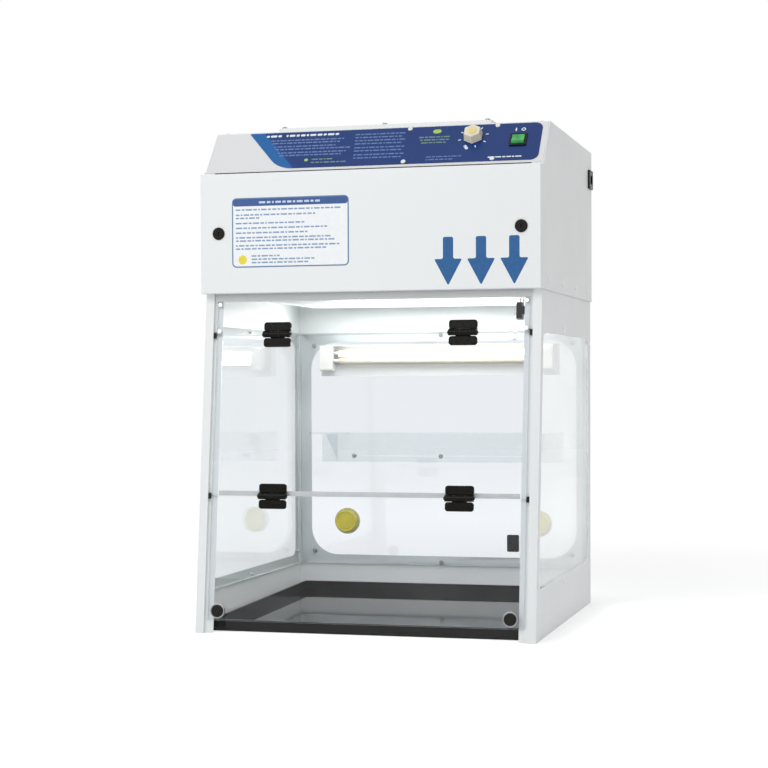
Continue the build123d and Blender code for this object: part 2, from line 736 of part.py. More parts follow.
def hinge_leaf(height, up, spans):
    """One hinge leaf: a plate on a pane, and knuckles over the given spans of X."""
    start = along(height)
    clear = BARREL_RADIUS + 2 * SEAT
    face = -PANE_FACE
    with BuildPart() as leaf:
        with BuildSketch(front_plane(PANE_FACE)) as plate:
            with Locations((0, start + up * (clear + HINGE_LEAF) / 2)):
                Rectangle(HINGE_WIDTH, HINGE_LEAF - clear)
            outer = plate.vertices().group_by(Axis.Z)[-1 if up > 0 else 0]
            fillet(outer, LEAF_THICKNESS)
        extrude(amount=LEAF_THICKNESS)
        rim = leaf.faces().filter_by(Plane(origin=(0, 0, 0), z_dir=OUTWARD)).sort_by(Axis.Y)[0]
        fillet(rim.edges(), LEAF_THICKNESS / 4)
        for low, high in spans:
            with BuildSketch(edge_plane(low)):
                with Locations((start, AXIS_OUT)):
                    Circle(BARREL_RADIUS)
                with Locations((start + up * (clear + 1) / 2, face + SEAT + LEAF_THICKNESS / 2 - 0.5)):
                    Rectangle(clear + 1, LEAF_THICKNESS - 1)
                with Locations((start, AXIS_OUT)):
                    Circle(PIN_RADIUS + RUNNING, mode=Mode.SUBTRACT)
            extrude(amount=high - low)
    return leaf.part


def hinges():
    """Four hinges: each joint has two, of two leaves and a pin."""
    half = HINGE_WIDTH / 2
    inner = KNUCKLE / 2
    outer_spans = [(-half, -inner - KNUCKLE_GAP), (inner + KNUCKLE_GAP, half)]
    places = [(-HINGE_SPREAD / 2, 0, 0), (HINGE_SPREAD / 2, 0, 0)]
    for row, height in (("upper", UPPER_JOINT), ("lower", LOWER_JOINT)):
        length = HINGE_WIDTH + 2 * PIN_OVERHANG
        with BuildPart() as fixed:
            with Locations(*places):
                add(hinge_leaf(height, 1, outer_spans))
            for x, _, _ in places:
                with BuildSketch(edge_plane(x - length / 2)):
                    with Locations((along(height), AXIS_OUT)):
                        Circle(PIN_RADIUS)
                extrude(amount=length)
        save(fixed, f"{row}_hinge_leaves_and_pins")
        with BuildPart() as moving:
            with Locations(*places):
                add(hinge_leaf(height, -1, [(-inner, inner)]))
        save(moving, f"{row}_hinge_swing_leaves")


def safety_switch():
    """The small switch on the right ledge, its lever on the sash and its two wires."""
    low, depth = along(SAFETY_LOW), LEDGE_DEPTH + SHEET + SEAT
    lever_depth = depth + SAFETY_DEPTH / 3
    with BuildPart() as switch:
        with BuildSketch(front_plane(depth)):
            with Locations((SAFETY_X, low + SAFETY_TALL / 2)):
                Rectangle(SAFETY_WIDTH, SAFETY_TALL)
        extrude(amount=-SAFETY_DEPTH)
        with BuildSketch(front_plane(depth)):
            with Locations((SAFETY_X + (SAFETY_WIDTH + SAFETY_LUG) / 2, low + SAFETY_TALL / 2)):
                Rectangle(SAFETY_LUG, SAFETY_TALL / 2)
        extrude(amount=-LEVER_EYE / 2)
        with BuildSketch(edge_plane(SAFETY_X - SAFETY_WIDTH / 2)):
            with Locations((low + LEVER_RISE, -lever_depth)):
                Circle(LEVER_PIN)
        extrude(amount=-LEVER_WIDTH - 1)
    save(switch, "safety_switch")
    pad = (low + LEVER_RISE - LEVER_DROP, -PANE_FACE - PANE - SEAT - LEVER_PAD)
    eye = (low + LEVER_RISE, -lever_depth)
    with BuildPart() as lever:
        with BuildSketch(edge_plane(SAFETY_X - SAFETY_WIDTH / 2 - SEAT)):
            with Locations(eye):
                Circle(LEVER_EYE)
            with Locations(pad):
                Circle(LEVER_PAD)
            with BuildLine():
                Polyline(
                    (eye[0], eye[1] + LEVER_PAD),
                    (pad[0], pad[1] + LEVER_PAD),
                    (pad[0], pad[1] - LEVER_PAD / 2),
                    (eye[0], eye[1] - LEVER_PAD),
                    close=True,
                )
            make_face()
            with Locations(eye):
                Circle(LEVER_PIN + RUNNING, mode=Mode.SUBTRACT)
        extrude(amount=-LEVER_WIDTH)
    save(lever, "safety_switch_lever")
    rear = front_plane(depth + SAFETY_DEPTH)
    with BuildPart() as wires:
        for side in (-1, 1):
            x = SAFETY_X + side * WIRE_SPREAD / 2
            start = rear.from_local_coords((x, low + SAFETY_TALL / 2, 0))
            turn = rear.from_local_coords((x, low + SAFETY_TALL / 2, -WIRE_OUT - side * WIRE_SPREAD / 2))
            with BuildLine() as route:
                FilletPolyline(start, turn, Vector(x, turn.Y, BODY_TOP - SEAT), radius=WIRE_BEND)
            with BuildSketch(Plane(origin=route.line @ 0, z_dir=route.line % 0)):
                Circle(WIRE_RADIUS)
            sweep(path=route.line)
    save(wires, "safety_switch_wires")


def diffuser_grille():
    """The slotted pan that the clean air comes down through."""
    half = DIFFUSER_WIDTH / 2
    y = (DIFFUSER_FRONT, DIFFUSER_REAR)
    with BuildPart() as grille:
        block((-half, half), y, (DIFFUSER_LOW, BODY_TOP - SEAT))
        inside = (y[0] + SHEET, y[1] - SHEET)
        block((SHEET - half, half - SHEET), inside, (DIFFUSER_LOW + SHEET, BODY_TOP), Mode.SUBTRACT)
        with BuildSketch(Plane.XY.offset(DIFFUSER_LOW)):
            with Locations((0, sum(y) / 2)):
                with GridLocations(SLOT_PITCH_X, SLOT_PITCH_Y, SLOT_COLUMNS, SLOT_ROWS):
                    SlotOverall(SLOT_LENGTH, SLOT_WIDTH)
        extrude(amount=SHEET, mode=Mode.SUBTRACT)
    save(grille, "diffuser_grille")


def filter_stack():
    """The filter over the chamber: shelf, gasket, framed pleats and four clamps."""
    half, length = FILTER_WIDTH / 2, FILTER_REAR - FILTER_FRONT
    opening = (FILTER_WIDTH - 2 * GASKET_WIDTH, length - 2 * GASKET_WIDTH)
    shelf_half = HEAD_INNER - SEAT
    with BuildPart() as shelf:
        y = (front_at(BODY_TOP) + SHEET, HEAD_REAR - SHEET - SEAT)
        block((-shelf_half, shelf_half), y, (BODY_TOP, BODY_TOP + SHEET))
        with BuildSketch(Plane.XY.offset(BODY_TOP)):
            with Locations((0, FILTER_Y)):
                Rectangle(*opening)
        extrude(amount=SHEET, mode=Mode.SUBTRACT)
    save(shelf, "plenum_shelf")
    with BuildPart() as gasket:
        with BuildSketch(Plane.XY.offset(BODY_TOP + SHEET)):
            with Locations((0, FILTER_Y)):
                Rectangle(FILTER_WIDTH, length)
                Rectangle(*opening, mode=Mode.SUBTRACT)
        extrude(amount=GASKET_HEIGHT)
    save(gasket, "filter_gasket")
    inside = (FILTER_WIDTH - 2 * FILTER_WALL, length - 2 * FILTER_WALL)
    with BuildPart() as frame:
        with BuildSketch(Plane.XY.offset(FILTER_LOW)):
            with Locations((0, FILTER_Y)):
                Rectangle(FILTER_WIDTH, length)
                Rectangle(*inside, mode=Mode.SUBTRACT)
        extrude(amount=FILTER_HEIGHT)
    save(frame, "filter_frame")
    with BuildPart() as pleats:
        width = inside[0] - 2 * SEAT
        pitch = width / PLEATS
        crests = []
        for fold in range(2 * PLEATS + 1):
            z = FILTER_LOW + PLEAT_MARGIN if fold % 2 == 0 else FILTER_TOP - PLEAT_MARGIN
            crests.append((fold * pitch / 2 - width / 2, z))
        rise = PLEAT_THICKNESS * math.hypot(1, 2 * (FILTER_HEIGHT - 2 * PLEAT_MARGIN) / pitch)
        lowered = [(x, z - rise / 2) for x, z in reversed(crests)]
        raised = [(x, z + rise / 2) for x, z in crests]
        depth = inside[1] / 2 - SEAT
        with BuildSketch(Plane.XZ.offset(depth - FILTER_Y)):
            with BuildLine():
                Polyline(*raised, *lowered, close=True)
            make_face()
        extrude(amount=-2 * depth)
    save(pleats, "filter_pleats")
    with BuildPart() as clamps:
        for side in (-1, 1):
            x = half + SEAT
            for y in (FILTER_Y - CLAMP_PITCH / 2, FILTER_Y + CLAMP_PITCH / 2):
                ends = (y - CLAMP_WIDTH / 2, y + CLAMP_WIDTH / 2)
                upright = sorted((side * x, side * (x + CLAMP_THICKNESS)))
                tab = sorted((side * (x - CLAMP_LAP), side * (x + CLAMP_THICKNESS)))
                foot = sorted((side * x, side * (x + CLAMP_LAP)))
                base = BODY_TOP + SHEET
                block(foot, ends, (base, base + CLAMP_THICKNESS))
                block(upright, ends, (base, FILTER_TOP + SEAT))
                block(tab, ends, (FILTER_TOP + SEAT, FILTER_TOP + SEAT + CLAMP_THICKNESS))
    save(clamps, "filter_clamps")


def fan_deck():
    """The shelf over the fan chamber, with the spun inlet ring that feeds the impeller."""
    half = HEAD_INNER - SEAT
    y = (HEAD_Y + SHEET + SEAT, HEAD_REAR - SHEET - SEAT)
    top = DECK_HEIGHT + SHEET
    with BuildPart() as deck:
        block((-half, half), y, (DECK_HEIGHT, top))
        for edge in ((half - SHEET, half), (-half, SHEET - half)):
            block(edge, y, (DECK_HEIGHT - DECK_EDGE, DECK_HEIGHT))
        mouth = Location((0, FAN_Y, DECK_HEIGHT))
        with Locations(mouth):
            Cylinder(INLET_RADIUS + DECK_LIP, 4 * SHEET, mode=Mode.SUBTRACT)
        axis = Axis((0, FAN_Y, 0), (0, 0, 1))
        with BuildSketch(Plane.XZ.offset(-FAN_Y)):
            with BuildLine():
                outer = INLET_RADIUS + DECK_LIP
                Line((outer, top), (outer, DECK_HEIGHT))
                RadiusArc((outer, DECK_HEIGHT), (INLET_RADIUS, DECK_HEIGHT - DECK_LIP), DECK_LIP)
                Line((INLET_RADIUS, DECK_HEIGHT - DECK_LIP), (INLET_RADIUS, DECK_HEIGHT - INLET_DROP))
                throat = INLET_RADIUS - SHEET
                Line((INLET_RADIUS, DECK_HEIGHT - INLET_DROP), (throat, DECK_HEIGHT - INLET_DROP))
                Line((throat, DECK_HEIGHT - INLET_DROP), (throat, DECK_HEIGHT - DECK_LIP))
                RadiusArc((throat, DECK_HEIGHT - DECK_LIP), (outer, top), -DECK_LIP - SHEET)
            make_face()
        revolve(axis=axis)
    save(deck, "fan_deck")


def fan_motor():
    """The motor on its bracket, which hangs from the fan deck."""
    plate = MOTOR_LOW - BRACKET_SHEET
    with BuildPart() as bracket:
        with Locations((0, FAN_Y, plate)):
            Cylinder(MOTOR_RADIUS, BRACKET_SHEET, align=(Align.CENTER, Align.CENTER, Align.MIN))
        reach = BRACKET_RADIUS + BRACKET_SHEET
        for x, y in ((reach, BRACKET_ARM / 2), (BRACKET_ARM / 2, reach)):
            block((-x, x), (FAN_Y - y, FAN_Y + y), (plate, MOTOR_LOW))
        with Locations((0, FAN_Y, 0)):
            with PolarLocations(BRACKET_RADIUS + BRACKET_SHEET / 2, 4):
                height = DECK_HEIGHT - plate
                with Locations((0, 0, plate + height / 2)):
                    Box(BRACKET_SHEET, BRACKET_ARM, height)
                with Locations((BRACKET_FOOT / 2, 0, DECK_HEIGHT - BRACKET_SHEET / 2)):
                    Box(BRACKET_FOOT, BRACKET_ARM, BRACKET_SHEET)
    save(bracket, "motor_bracket")
    with BuildPart() as motor:
        with Locations((0, FAN_Y, MOTOR_LOW)):
            Cylinder(MOTOR_RADIUS, MOTOR_HEIGHT, align=(Align.CENTER, Align.CENTER, Align.MIN))
        fillet(motor.faces().sort_by(Axis.Z)[-1].edges(), MOTOR_FLOOR)
        bore = MOTOR_HEIGHT - MOTOR_FLOOR
        with Locations((0, FAN_Y, MOTOR_LOW + MOTOR_FLOOR)):
            top = (Align.CENTER, Align.CENTER, Align.MIN)
            Cylinder(SHAFT_RADIUS + RUNNING, bore, align=top, mode=Mode.SUBTRACT)
    save(motor, "fan_motor")


def impeller():
    """The fan wheel and its shaft."""
    low = Plane.XY.offset(IMPELLER_LOW)
    chord = IMPELLER_RADIUS - IMPELLER_EYE
    with BuildPart() as wheel:
        with BuildSketch(low):
            with Locations((0, FAN_Y)):
                Circle(IMPELLER_RADIUS)
        extrude(amount=IMPELLER_SHEET)
        with BuildSketch(low):
            with Locations((0, FAN_Y)):
                Circle(HUB_RADIUS)
        extrude(amount=HUB_HEIGHT)
        with BuildSketch(Plane.XY.offset(IMPELLER_HIGH - IMPELLER_SHEET)):
            with Locations((0, FAN_Y)):
                Circle(IMPELLER_RADIUS)
                Circle(IMPELLER_EYE, mode=Mode.SUBTRACT)
        extrude(amount=IMPELLER_SHEET)
        with BuildSketch(low):
            with Locations((0, FAN_Y)):
                with PolarLocations(IMPELLER_RADIUS - chord / 2 - IMPELLER_SHEET, BLADES):
                    Rectangle(chord, IMPELLER_SHEET, rotation=BLADE_ANGLE)
        extrude(amount=IMPELLER_HIGH - IMPELLER_LOW)
        with Locations((0, FAN_Y, IMPELLER_LOW)):
            Cylinder(SHAFT_RADIUS + RUNNING, 4 * HUB_HEIGHT, mode=Mode.SUBTRACT)
        start = MOTOR_LOW + MOTOR_FLOOR + SEAT
        with Locations((0, FAN_Y, start)):
            length = IMPELLER_LOW + HUB_HEIGHT - start
            Cylinder(SHAFT_RADIUS, length, align=(Align.CENTER, Align.CENTER, Align.MIN))
    save(wheel, "fan_impeller")


def lamp_ballast():
    """The ballast box on the fan deck, behind the control panel."""
    with BuildPart() as ballast:
        with Locations((BALLAST_X, BALLAST_Y, DECK_HEIGHT + SHEET)):
            Box(*BALLAST_SIZE, align=(Align.CENTER, Align.CENTER, Align.MIN))
        fillet(ballast.edges().filter_by(Axis.Z), SHEET)
    save(ballast, "lamp_ballast")


def head_case():
    """The head: sides and back in one sheet, folded in round the front and the top."""
    outline = [
        (HEAD_Y, HEAD_BOTTOM),
        (HEAD_REAR, HEAD_BOTTOM),
        (HEAD_REAR, HEAD_UNDER),
        (PANEL_TOP_Y, HEAD_UNDER),
        (FRONT + PANEL_FOOT, PANEL_LOW),
        (HEAD_Y, PANEL_LOW),
    ]
    flange_top = PANEL_LOW - SHEET - SEAT
    with BuildPart() as case:
        with BuildSketch(Plane.YZ.offset(HEAD_INNER)):
            with BuildLine():
                Polyline(*outline, close=True)
            make_face()
        extrude(amount=SHEET)
        block((HEAD_HALF - HEAD_FLANGE, HEAD_INNER), (HEAD_Y, HEAD_Y + SHEET), (HEAD_BOTTOM, flange_top))
        top_y = (PANEL_TOP_Y + PANEL_BEND + SEAT, HEAD_REAR - SHEET)
        block((HEAD_HALF - TOP_FLANGE, HEAD_INNER), top_y, (HEAD_UNDER - SHEET, HEAD_UNDER))
        with Locations(*on_plane(Plane.YZ.offset(HEAD_INNER), head_rivets())):
            Cylinder(RIVET_RADIUS + RUNNING, 4 * SHEET, mode=Mode.SUBTRACT)
        with Locations(*on_plane(Plane.XY.offset(HEAD_UNDER), top_screws())):
            Cylinder(RIVET_RADIUS + RUNNING, 4 * SHEET, mode=Mode.SUBTRACT)
        mirror(about=Plane.YZ)
        rear = (HEAD_REAR - SHEET, HEAD_REAR)
        block((-HEAD_INNER, HEAD_INNER), rear, (HEAD_BOTTOM, HEAD_UNDER))
        with BuildSketch(Plane.YZ.offset(HEAD_INNER)):
            with Locations((INLET_Y, INLET_Z)):
                Rectangle(INLET_BODY[0] + 2 * SEAT, INLET_BODY[1] + 2 * SEAT)
        extrude(amount=SHEET, mode=Mode.SUBTRACT)
    save(case, "head_case")


def top_cover():
    """The lid of the head, with the air intake opening."""
    opening = (PREFILTER_WIDTH - 2 * TOP_OPENING_BORDER, PREFILTER_LENGTH - 2 * TOP_OPENING_BORDER)
    with BuildPart() as cover:
        block((-HEAD_HALF, HEAD_HALF), (PANEL_TOP_Y, HEAD_REAR), (HEAD_UNDER, HEAD_TOP))
        with BuildSketch(Plane.XY.offset(HEAD_UNDER)):
            with Locations((0, FAN_Y)):
                Rectangle(*opening)
        extrude(amount=SHEET, mode=Mode.SUBTRACT)
        with Locations(*on_plane(Plane.XY.offset(HEAD_TOP), top_screws() + prefilter_screws())):
            Cylinder(RIVET_RADIUS + RUNNING, 4 * SHEET, mode=Mode.SUBTRACT)
    save(cover, "top_cover")


def overlay_corners():
    """The overlay's outline on the slope, its lower left corner slanted."""
    foot = OVERLAY_LEFT + OVERLAY_SLANT
    return [
        (OVERLAY_LEFT, OVERLAY_HIGH),
        (foot, OVERLAY_LOW),
        (OVERLAY_RIGHT, OVERLAY_LOW),
        (OVERLAY_RIGHT, OVERLAY_HIGH),
    ]


def control_panel():
    """The sloped panel, bent under the top cover and over the door, and its overlay."""
    half = HEAD_INNER - SEAT
    bend = [
        (HEAD_Y, PANEL_LOW),
        (FRONT + PANEL_FOOT, PANEL_LOW),
        (PANEL_TOP_Y, HEAD_UNDER),
        (PANEL_TOP_Y + PANEL_BEND, HEAD_UNDER),
    ]
    with BuildPart() as panel:
        with BuildSketch(Plane.YZ.offset(-half)):
            with BuildLine():
                Polyline(*bend)
                offset(amount=SHEET, side=Side.RIGHT, kind=Kind.INTERSECTION)
            make_face()
        extrude(amount=2 * half)
        with Locations(*on_plane(Plane.XY.offset(HEAD_UNDER), top_screws())):
            Cylinder(RIVET_RADIUS + RUNNING, 4 * SHEET, mode=Mode.SUBTRACT)
        cut_slope_holes()
    save(panel, "control_panel")
    with BuildPart() as overlay:
        with BuildSketch(slope_plane()) as sheet:
            with BuildLine():
                Polyline(*overlay_corners(), close=True)
            make_face()
            slanted = sheet.vertices().sort_by(Axis.Z)[:2].sort_by(Axis.X)
            fillet(slanted[0], OVERLAY_CURVE)
            fillet(slanted[1], OVERLAY_CORNER)
        extrude(amount=OVERLAY_THICKNESS)
        cut_slope_holes()
    save(overlay, "control_overlay")


def cut_slope_holes():
    """Cuts the holes for the spindle, the switch and the screws through the panel or its overlay."""
    with Locations(*on_plane(slope_plane(), [(KNOB_X, KNOB_UP)])):
        Cylinder(SPINDLE_RADIUS + 2 * SEAT, 4 * SHEET, mode=Mode.SUBTRACT)
    with Locations(*on_plane(slope_plane(), [(SWITCH_X, SWITCH_UP)])):
        Box(SWITCH_BODY + SEAT, SWITCH_BODY + SEAT, 4 * SHEET, mode=Mode.SUBTRACT)
    with Locations(*on_plane(slope_plane(), OVERLAY_SCREWS)):
        Cylinder(RIVET_RADIUS + RUNNING, 4 * SHEET, mode=Mode.SUBTRACT)


def speed_knob():
    """The faceted knob, its spindle, and the speed control behind the panel."""
    foot = OVERLAY_THICKNESS + DIAL_LIFT
    with BuildPart() as knob:
        with BuildSketch(slope_plane(foot)):
            with Locations((KNOB_X, KNOB_UP)):
                RegularPolygon(DIAL_RADIUS, 6, rotation=30)
        extrude(amount=DIAL_HEIGHT, taper=DIAL_TAPER)
        rim = knob.faces().filter_by(slope_plane()).sort_by(Axis.Z)[-1]
        fillet(rim.edges(), SHEET)
        with Locations(*on_plane(slope_plane(foot), [(KNOB_X, KNOB_UP)])):
            Cylinder(SPINDLE_RADIUS + RUNNING, DIAL_HEIGHT, mode=Mode.SUBTRACT)
        with BuildSketch(slope_plane(foot + DIAL_HEIGHT / 2 - SEAT)):
            with Locations((KNOB_X, KNOB_UP)):
                Circle(SPINDLE_RADIUS)
        extrude(amount=-SPINDLE_LENGTH)
    save(knob, "speed_knob")
    with BuildPart() as control:
        with BuildSketch(slope_plane(-SHEET)):
            with Locations((KNOB_X, KNOB_UP)):
                RectangleRounded(SPEED_BOX, SPEED_BOX, 2 * SHEET)
                Circle(SPINDLE_RADIUS + RUNNING, mode=Mode.SUBTRACT)
        extrude(amount=-SPEED_BOX_DEPTH)
    save(control, "speed_control")


def power_switch():
    """The rocker switch: a dark frame with a pocket, and the rocker on its own pins."""
    with BuildPart() as frame:
        with BuildSketch(slope_plane(OVERLAY_THICKNESS)):
            with Locations((SWITCH_X, SWITCH_UP)):
                RectangleRounded(SWITCH_WIDTH, SWITCH_WIDTH, SWITCH_RIM)
        extrude(amount=SWITCH_RIM)
        with BuildSketch(slope_plane(OVERLAY_THICKNESS)):
            with Locations((SWITCH_X, SWITCH_UP)):
                Rectangle(SWITCH_BODY, SWITCH_BODY)
        extrude(amount=-SWITCH_DEPTH)
        with BuildSketch(slope_plane(OVERLAY_THICKNESS + SWITCH_RIM)):
            with Locations((SWITCH_X, SWITCH_UP)):
                Rectangle(ROCKER_POCKET, ROCKER_POCKET)
        extrude(amount=-SWITCH_DEPTH, mode=Mode.SUBTRACT)
        with BuildSketch(rocker_plane(0)):
            Circle(ROCKER_PIN + RUNNING)
        reach = ROCKER_POCKET / 2 + SHEET
        extrude(amount=reach, both=True, mode=Mode.SUBTRACT)
    save(frame, "switch_frame")
    width = ROCKER_POCKET / 2 - SEAT
    with BuildPart() as rocker:
        with BuildSketch(rocker_plane(-ROCKER_TILT)):
            Circle(ROCKER_RADIUS)
            crest = ROCKER_SUNK + ROCKER_PIN
            end = crest + ROCKER_RADIUS * math.tan(math.radians(ROCKER_TILT))
            top = 2 * ROCKER_RADIUS
            with BuildLine():
                Polyline((0, crest), (ROCKER_RADIUS, end), (ROCKER_RADIUS, top), (-ROCKER_RADIUS, top),
                         (-ROCKER_RADIUS, end), close=True)
            make_face(mode=Mode.SUBTRACT)
        extrude(amount=width, both=True)
        with BuildSketch(rocker_plane(0)):
            Circle(ROCKER_PIN)
        extrude(amount=width + SHEET, both=True)
    save(rocker, "power_rocker")


def rocker_plane(tilt):
    """Plane square to X through the rocker's axis, its own Y out of the panel, turned by a tilt."""
    turned = SLOPE + math.radians(tilt)
    axis = slope_plane(OVERLAY_THICKNESS + SWITCH_RIM - ROCKER_SUNK).from_local_coords((SWITCH_X, SWITCH_UP, 0))
    return Plane(origin=axis, x_dir=(0, math.cos(turned), math.sin(turned)), z_dir=(1, 0, 0))


def filter_door():
    """The front door of the head, a pan held by two locks, and the locks."""
    rear = HEAD_Y - SEAT
    places = [(-LOCK_SPREAD / 2, LOCK_HEIGHT), (LOCK_SPREAD / 2, LOCK_HEIGHT)]
    with BuildPart() as door:
        block((-HEAD_HALF, HEAD_HALF), (DOOR_Y, rear), (HEAD_BOTTOM, DOOR_TOP))
        fillet(door.faces().sort_by(Axis.Y)[0].edges(), DOOR_EDGE)
        inside = (HEAD_BOTTOM + SHEET, DOOR_TOP - SHEET)
        block((SHEET - HEAD_HALF, HEAD_HALF - SHEET), (DOOR_Y + SHEET, rear), inside, Mode.SUBTRACT)
        with Locations(*on_plane(Plane.XZ.offset(-DOOR_Y), places)):
            Cylinder(LOCK_BARREL + RUNNING, 4 * SHEET, mode=Mode.SUBTRACT)
    save(door, "filter_door")
    face = Plane.XZ.offset(-DOOR_Y)
    length = CAM_Y - DOOR_Y - 2 * SEAT
    with BuildPart() as barrel:
        with BuildSketch(Plane.XY):
            Circle(LOCK_RADIUS)
            Circle(LOCK_PLUG + RUNNING, mode=Mode.SUBTRACT)
        extrude(amount=LOCK_RIM)
        fillet(barrel.faces().sort_by(Axis.Z)[-1].edges().sort_by(SortBy.LENGTH)[-1], LOCK_RIM / 2)
        with BuildSketch(Plane.XY):
            Circle(LOCK_BARREL)
            Circle(LOCK_PLUG + RUNNING, mode=Mode.SUBTRACT)
        extrude(amount=-length)
        with BuildSketch(Plane.XY.offset(-SHEET)):
            RegularPolygon(LOCK_NUT, 6)
            Circle(LOCK_BARREL + RUNNING, mode=Mode.SUBTRACT)
        extrude(amount=-LOCK_NUT_THICKNESS)
    fasteners("lock_barrels_and_nuts", barrel.part, on_plane(face, places))
    for name, (x, z) in zip(("left_lock_cam", "right_lock_cam"), places):
        with BuildPart() as cam:
            with BuildSketch(Plane.XZ.offset(LOCK_RIM - DOOR_Y)):
                with Locations((x, z)):
                    Circle(LOCK_PLUG)
            extrude(amount=DOOR_Y - LOCK_RIM - CAM_Y)
            with BuildSketch(Plane.XZ.offset(LOCK_RIM - DOOR_Y)):
                with Locations((x, z)):
                    Rectangle(SHEET, KEY_SLOT)
            extrude(amount=-LOCK_PLUG, mode=Mode.SUBTRACT)
            with BuildSketch(Plane.XZ.offset(-CAM_Y)) as blade:
                with Locations((x, z + (CAM_LENGTH - CAM_WIDTH / 2) / 2)):
                    Rectangle(CAM_WIDTH, CAM_LENGTH + CAM_WIDTH / 2)
                fillet(blade.vertices(), CAM_WIDTH / 4)
            extrude(amount=-CAM_THICKNESS)
        save(cam, name)


def power_inlet():
    """The black appliance inlet at the rear of the head's right side: a cup with three pins."""
    back = HEAD_HALF + INLET_PROUD - INLET_DEPTH
    pins = [(-INLET_PIN_SPREAD, -INLET_PIN_RISE), (0, INLET_PIN_RISE), (INLET_PIN_SPREAD, -INLET_PIN_RISE)]
    with BuildPart() as inlet:
        with BuildSketch(Plane.YZ.offset(HEAD_HALF)):
            with Locations((INLET_Y, INLET_Z)):
                RectangleRounded(*INLET_PLATE, INLET_PROUD / 2)
        extrude(amount=INLET_PROUD)
        with BuildSketch(Plane.YZ.offset(back)):
            with Locations((INLET_Y, INLET_Z)):
                Rectangle(*INLET_BODY)
        extrude(amount=HEAD_HALF - back)
        with BuildSketch(Plane.YZ.offset(back + INLET_FLOOR)):
            with Locations((INLET_Y, INLET_Z)):
                Rectangle(*INLET_CUP)
        extrude(amount=INLET_DEPTH, mode=Mode.SUBTRACT)
        with BuildSketch(Plane.YZ.offset(back + INLET_FLOOR)):
            with Locations(*[(INLET_Y + y, INLET_Z + z) for y, z in pins]):
                Rectangle(*INLET_PIN)
        extrude(amount=INLET_PIN_LENGTH)
    save(inlet, "power_inlet")


def prefilter():
    """The intake filter on the top cover: a barred frame over a foam pad."""
    inner = (PREFILTER_WIDTH - 2 * PREFILTER_BORDER, PREFILTER_LENGTH - 2 * PREFILTER_BORDER)
    bar_low = HEAD_TOP + PREFILTER_HEIGHT - PREFILTER_BAR / 2
    with BuildPart() as frame:
        with BuildSketch(Plane.XY.offset(HEAD_TOP)):
            with Locations((0, FAN_Y)):
                RectangleRounded(PREFILTER_WIDTH, PREFILTER_LENGTH, PREFILTER_BAR)
                Rectangle(*inner, mode=Mode.SUBTRACT)
        extrude(amount=PREFILTER_HEIGHT)
        with BuildSketch(Plane.XY.offset(bar_low)):
            with Locations((0, FAN_Y)):
                with GridLocations(inner[0] / 4, 0, 3, 1):
                    Rectangle(PREFILTER_BAR, inner[1])
                with GridLocations(0, inner[1] / 3, 1, 2):
                    Rectangle(inner[0], PREFILTER_BAR)
        extrude(amount=PREFILTER_BAR / 2)
        with Locations(*on_plane(Plane.XY.offset(HEAD_TOP), prefilter_screws())):
            Cylinder(RIVET_RADIUS + RUNNING, 4 * PREFILTER_HEIGHT, mode=Mode.SUBTRACT)
    save(frame, "prefilter_frame")
    with BuildPart() as pad:
        with BuildSketch(Plane.XY.offset(HEAD_TOP)):
            with Locations((0, FAN_Y)):
                Rectangle(inner[0] - 2 * PAD_GAP, inner[1] - 2 * PAD_GAP)
        extrude(amount=PAD_HEIGHT)
    save(pad, "prefilter_pad")


def small_fasteners():
    """The rivets and screws, each kind in one node."""
    wall = Plane.YZ.offset(HALF)
    with BuildPart() as rivets:
        with Locations(*on_plane(wall, side_window_rivets())):
            add(rivet(SHEET + GLAZING))
        with Locations(*on_plane(Plane.YZ.offset(HEAD_HALF), head_rivets())):
            add(rivet(HEAD_HALF - INNER))
        with Locations(*on_plane(front_plane(PANE_FACE), strip_rivets()[2:])):
            add(rivet(PANE + SEAT + SHEET))
        mirror(about=Plane.YZ)
    save(rivets, "case_rivets")
    with BuildPart() as screws:
        with Locations(*on_plane(Plane.XZ.offset(-GLASS_FRONT), back_window_screws())):
            add(rivet(GLAZING + SHEET))
        with Locations(*on_plane(Plane.XZ.offset(SHELF_THICKNESS - GLASS_FRONT), shelf_screws())):
            add(rivet(GLAZING + SHELF_THICKNESS))
        with Locations(*on_plane(Plane.XY.offset(HEAD_TOP), top_screws())):
            add(rivet(2 * SHEET))
    save(screws, "case_screws")
    clamp = rivet(PREFILTER_HEIGHT + SHEET, SCREW_HEAD, SCREW_DOME)
    on_frame = Plane.XY.offset(HEAD_TOP + PREFILTER_HEIGHT)
    fasteners("prefilter_screws", clamp, on_plane(on_frame, prefilter_screws()))
    panel_screw = rivet(OVERLAY_THICKNESS + SHEET)
    fasteners("overlay_screws", panel_screw, on_plane(slope_plane(OVERLAY_THICKNESS), OVERLAY_SCREWS))


os.makedirs("parts", exist_ok=True)
side_panels()
back_panel()
rear_rail()
spill_tray()
side_glazing()
back_glazing()
port_plugs()
outlet_socket()
equipment_shelf()
lamp()
header_rail()
panes()
sash_knobs()
hinges()
safety_switch()
diffuser_grille()
filter_stack()
fan_deck()
fan_motor()
impeller()
lamp_ballast()
head_case()
top_cover()
control_panel()
speed_knob()
power_switch()
filter_door()
power_inlet()
prefilter()
small_fasteners()
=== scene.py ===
import math

import bmesh
import bpy
from mathutils import Matrix, Vector


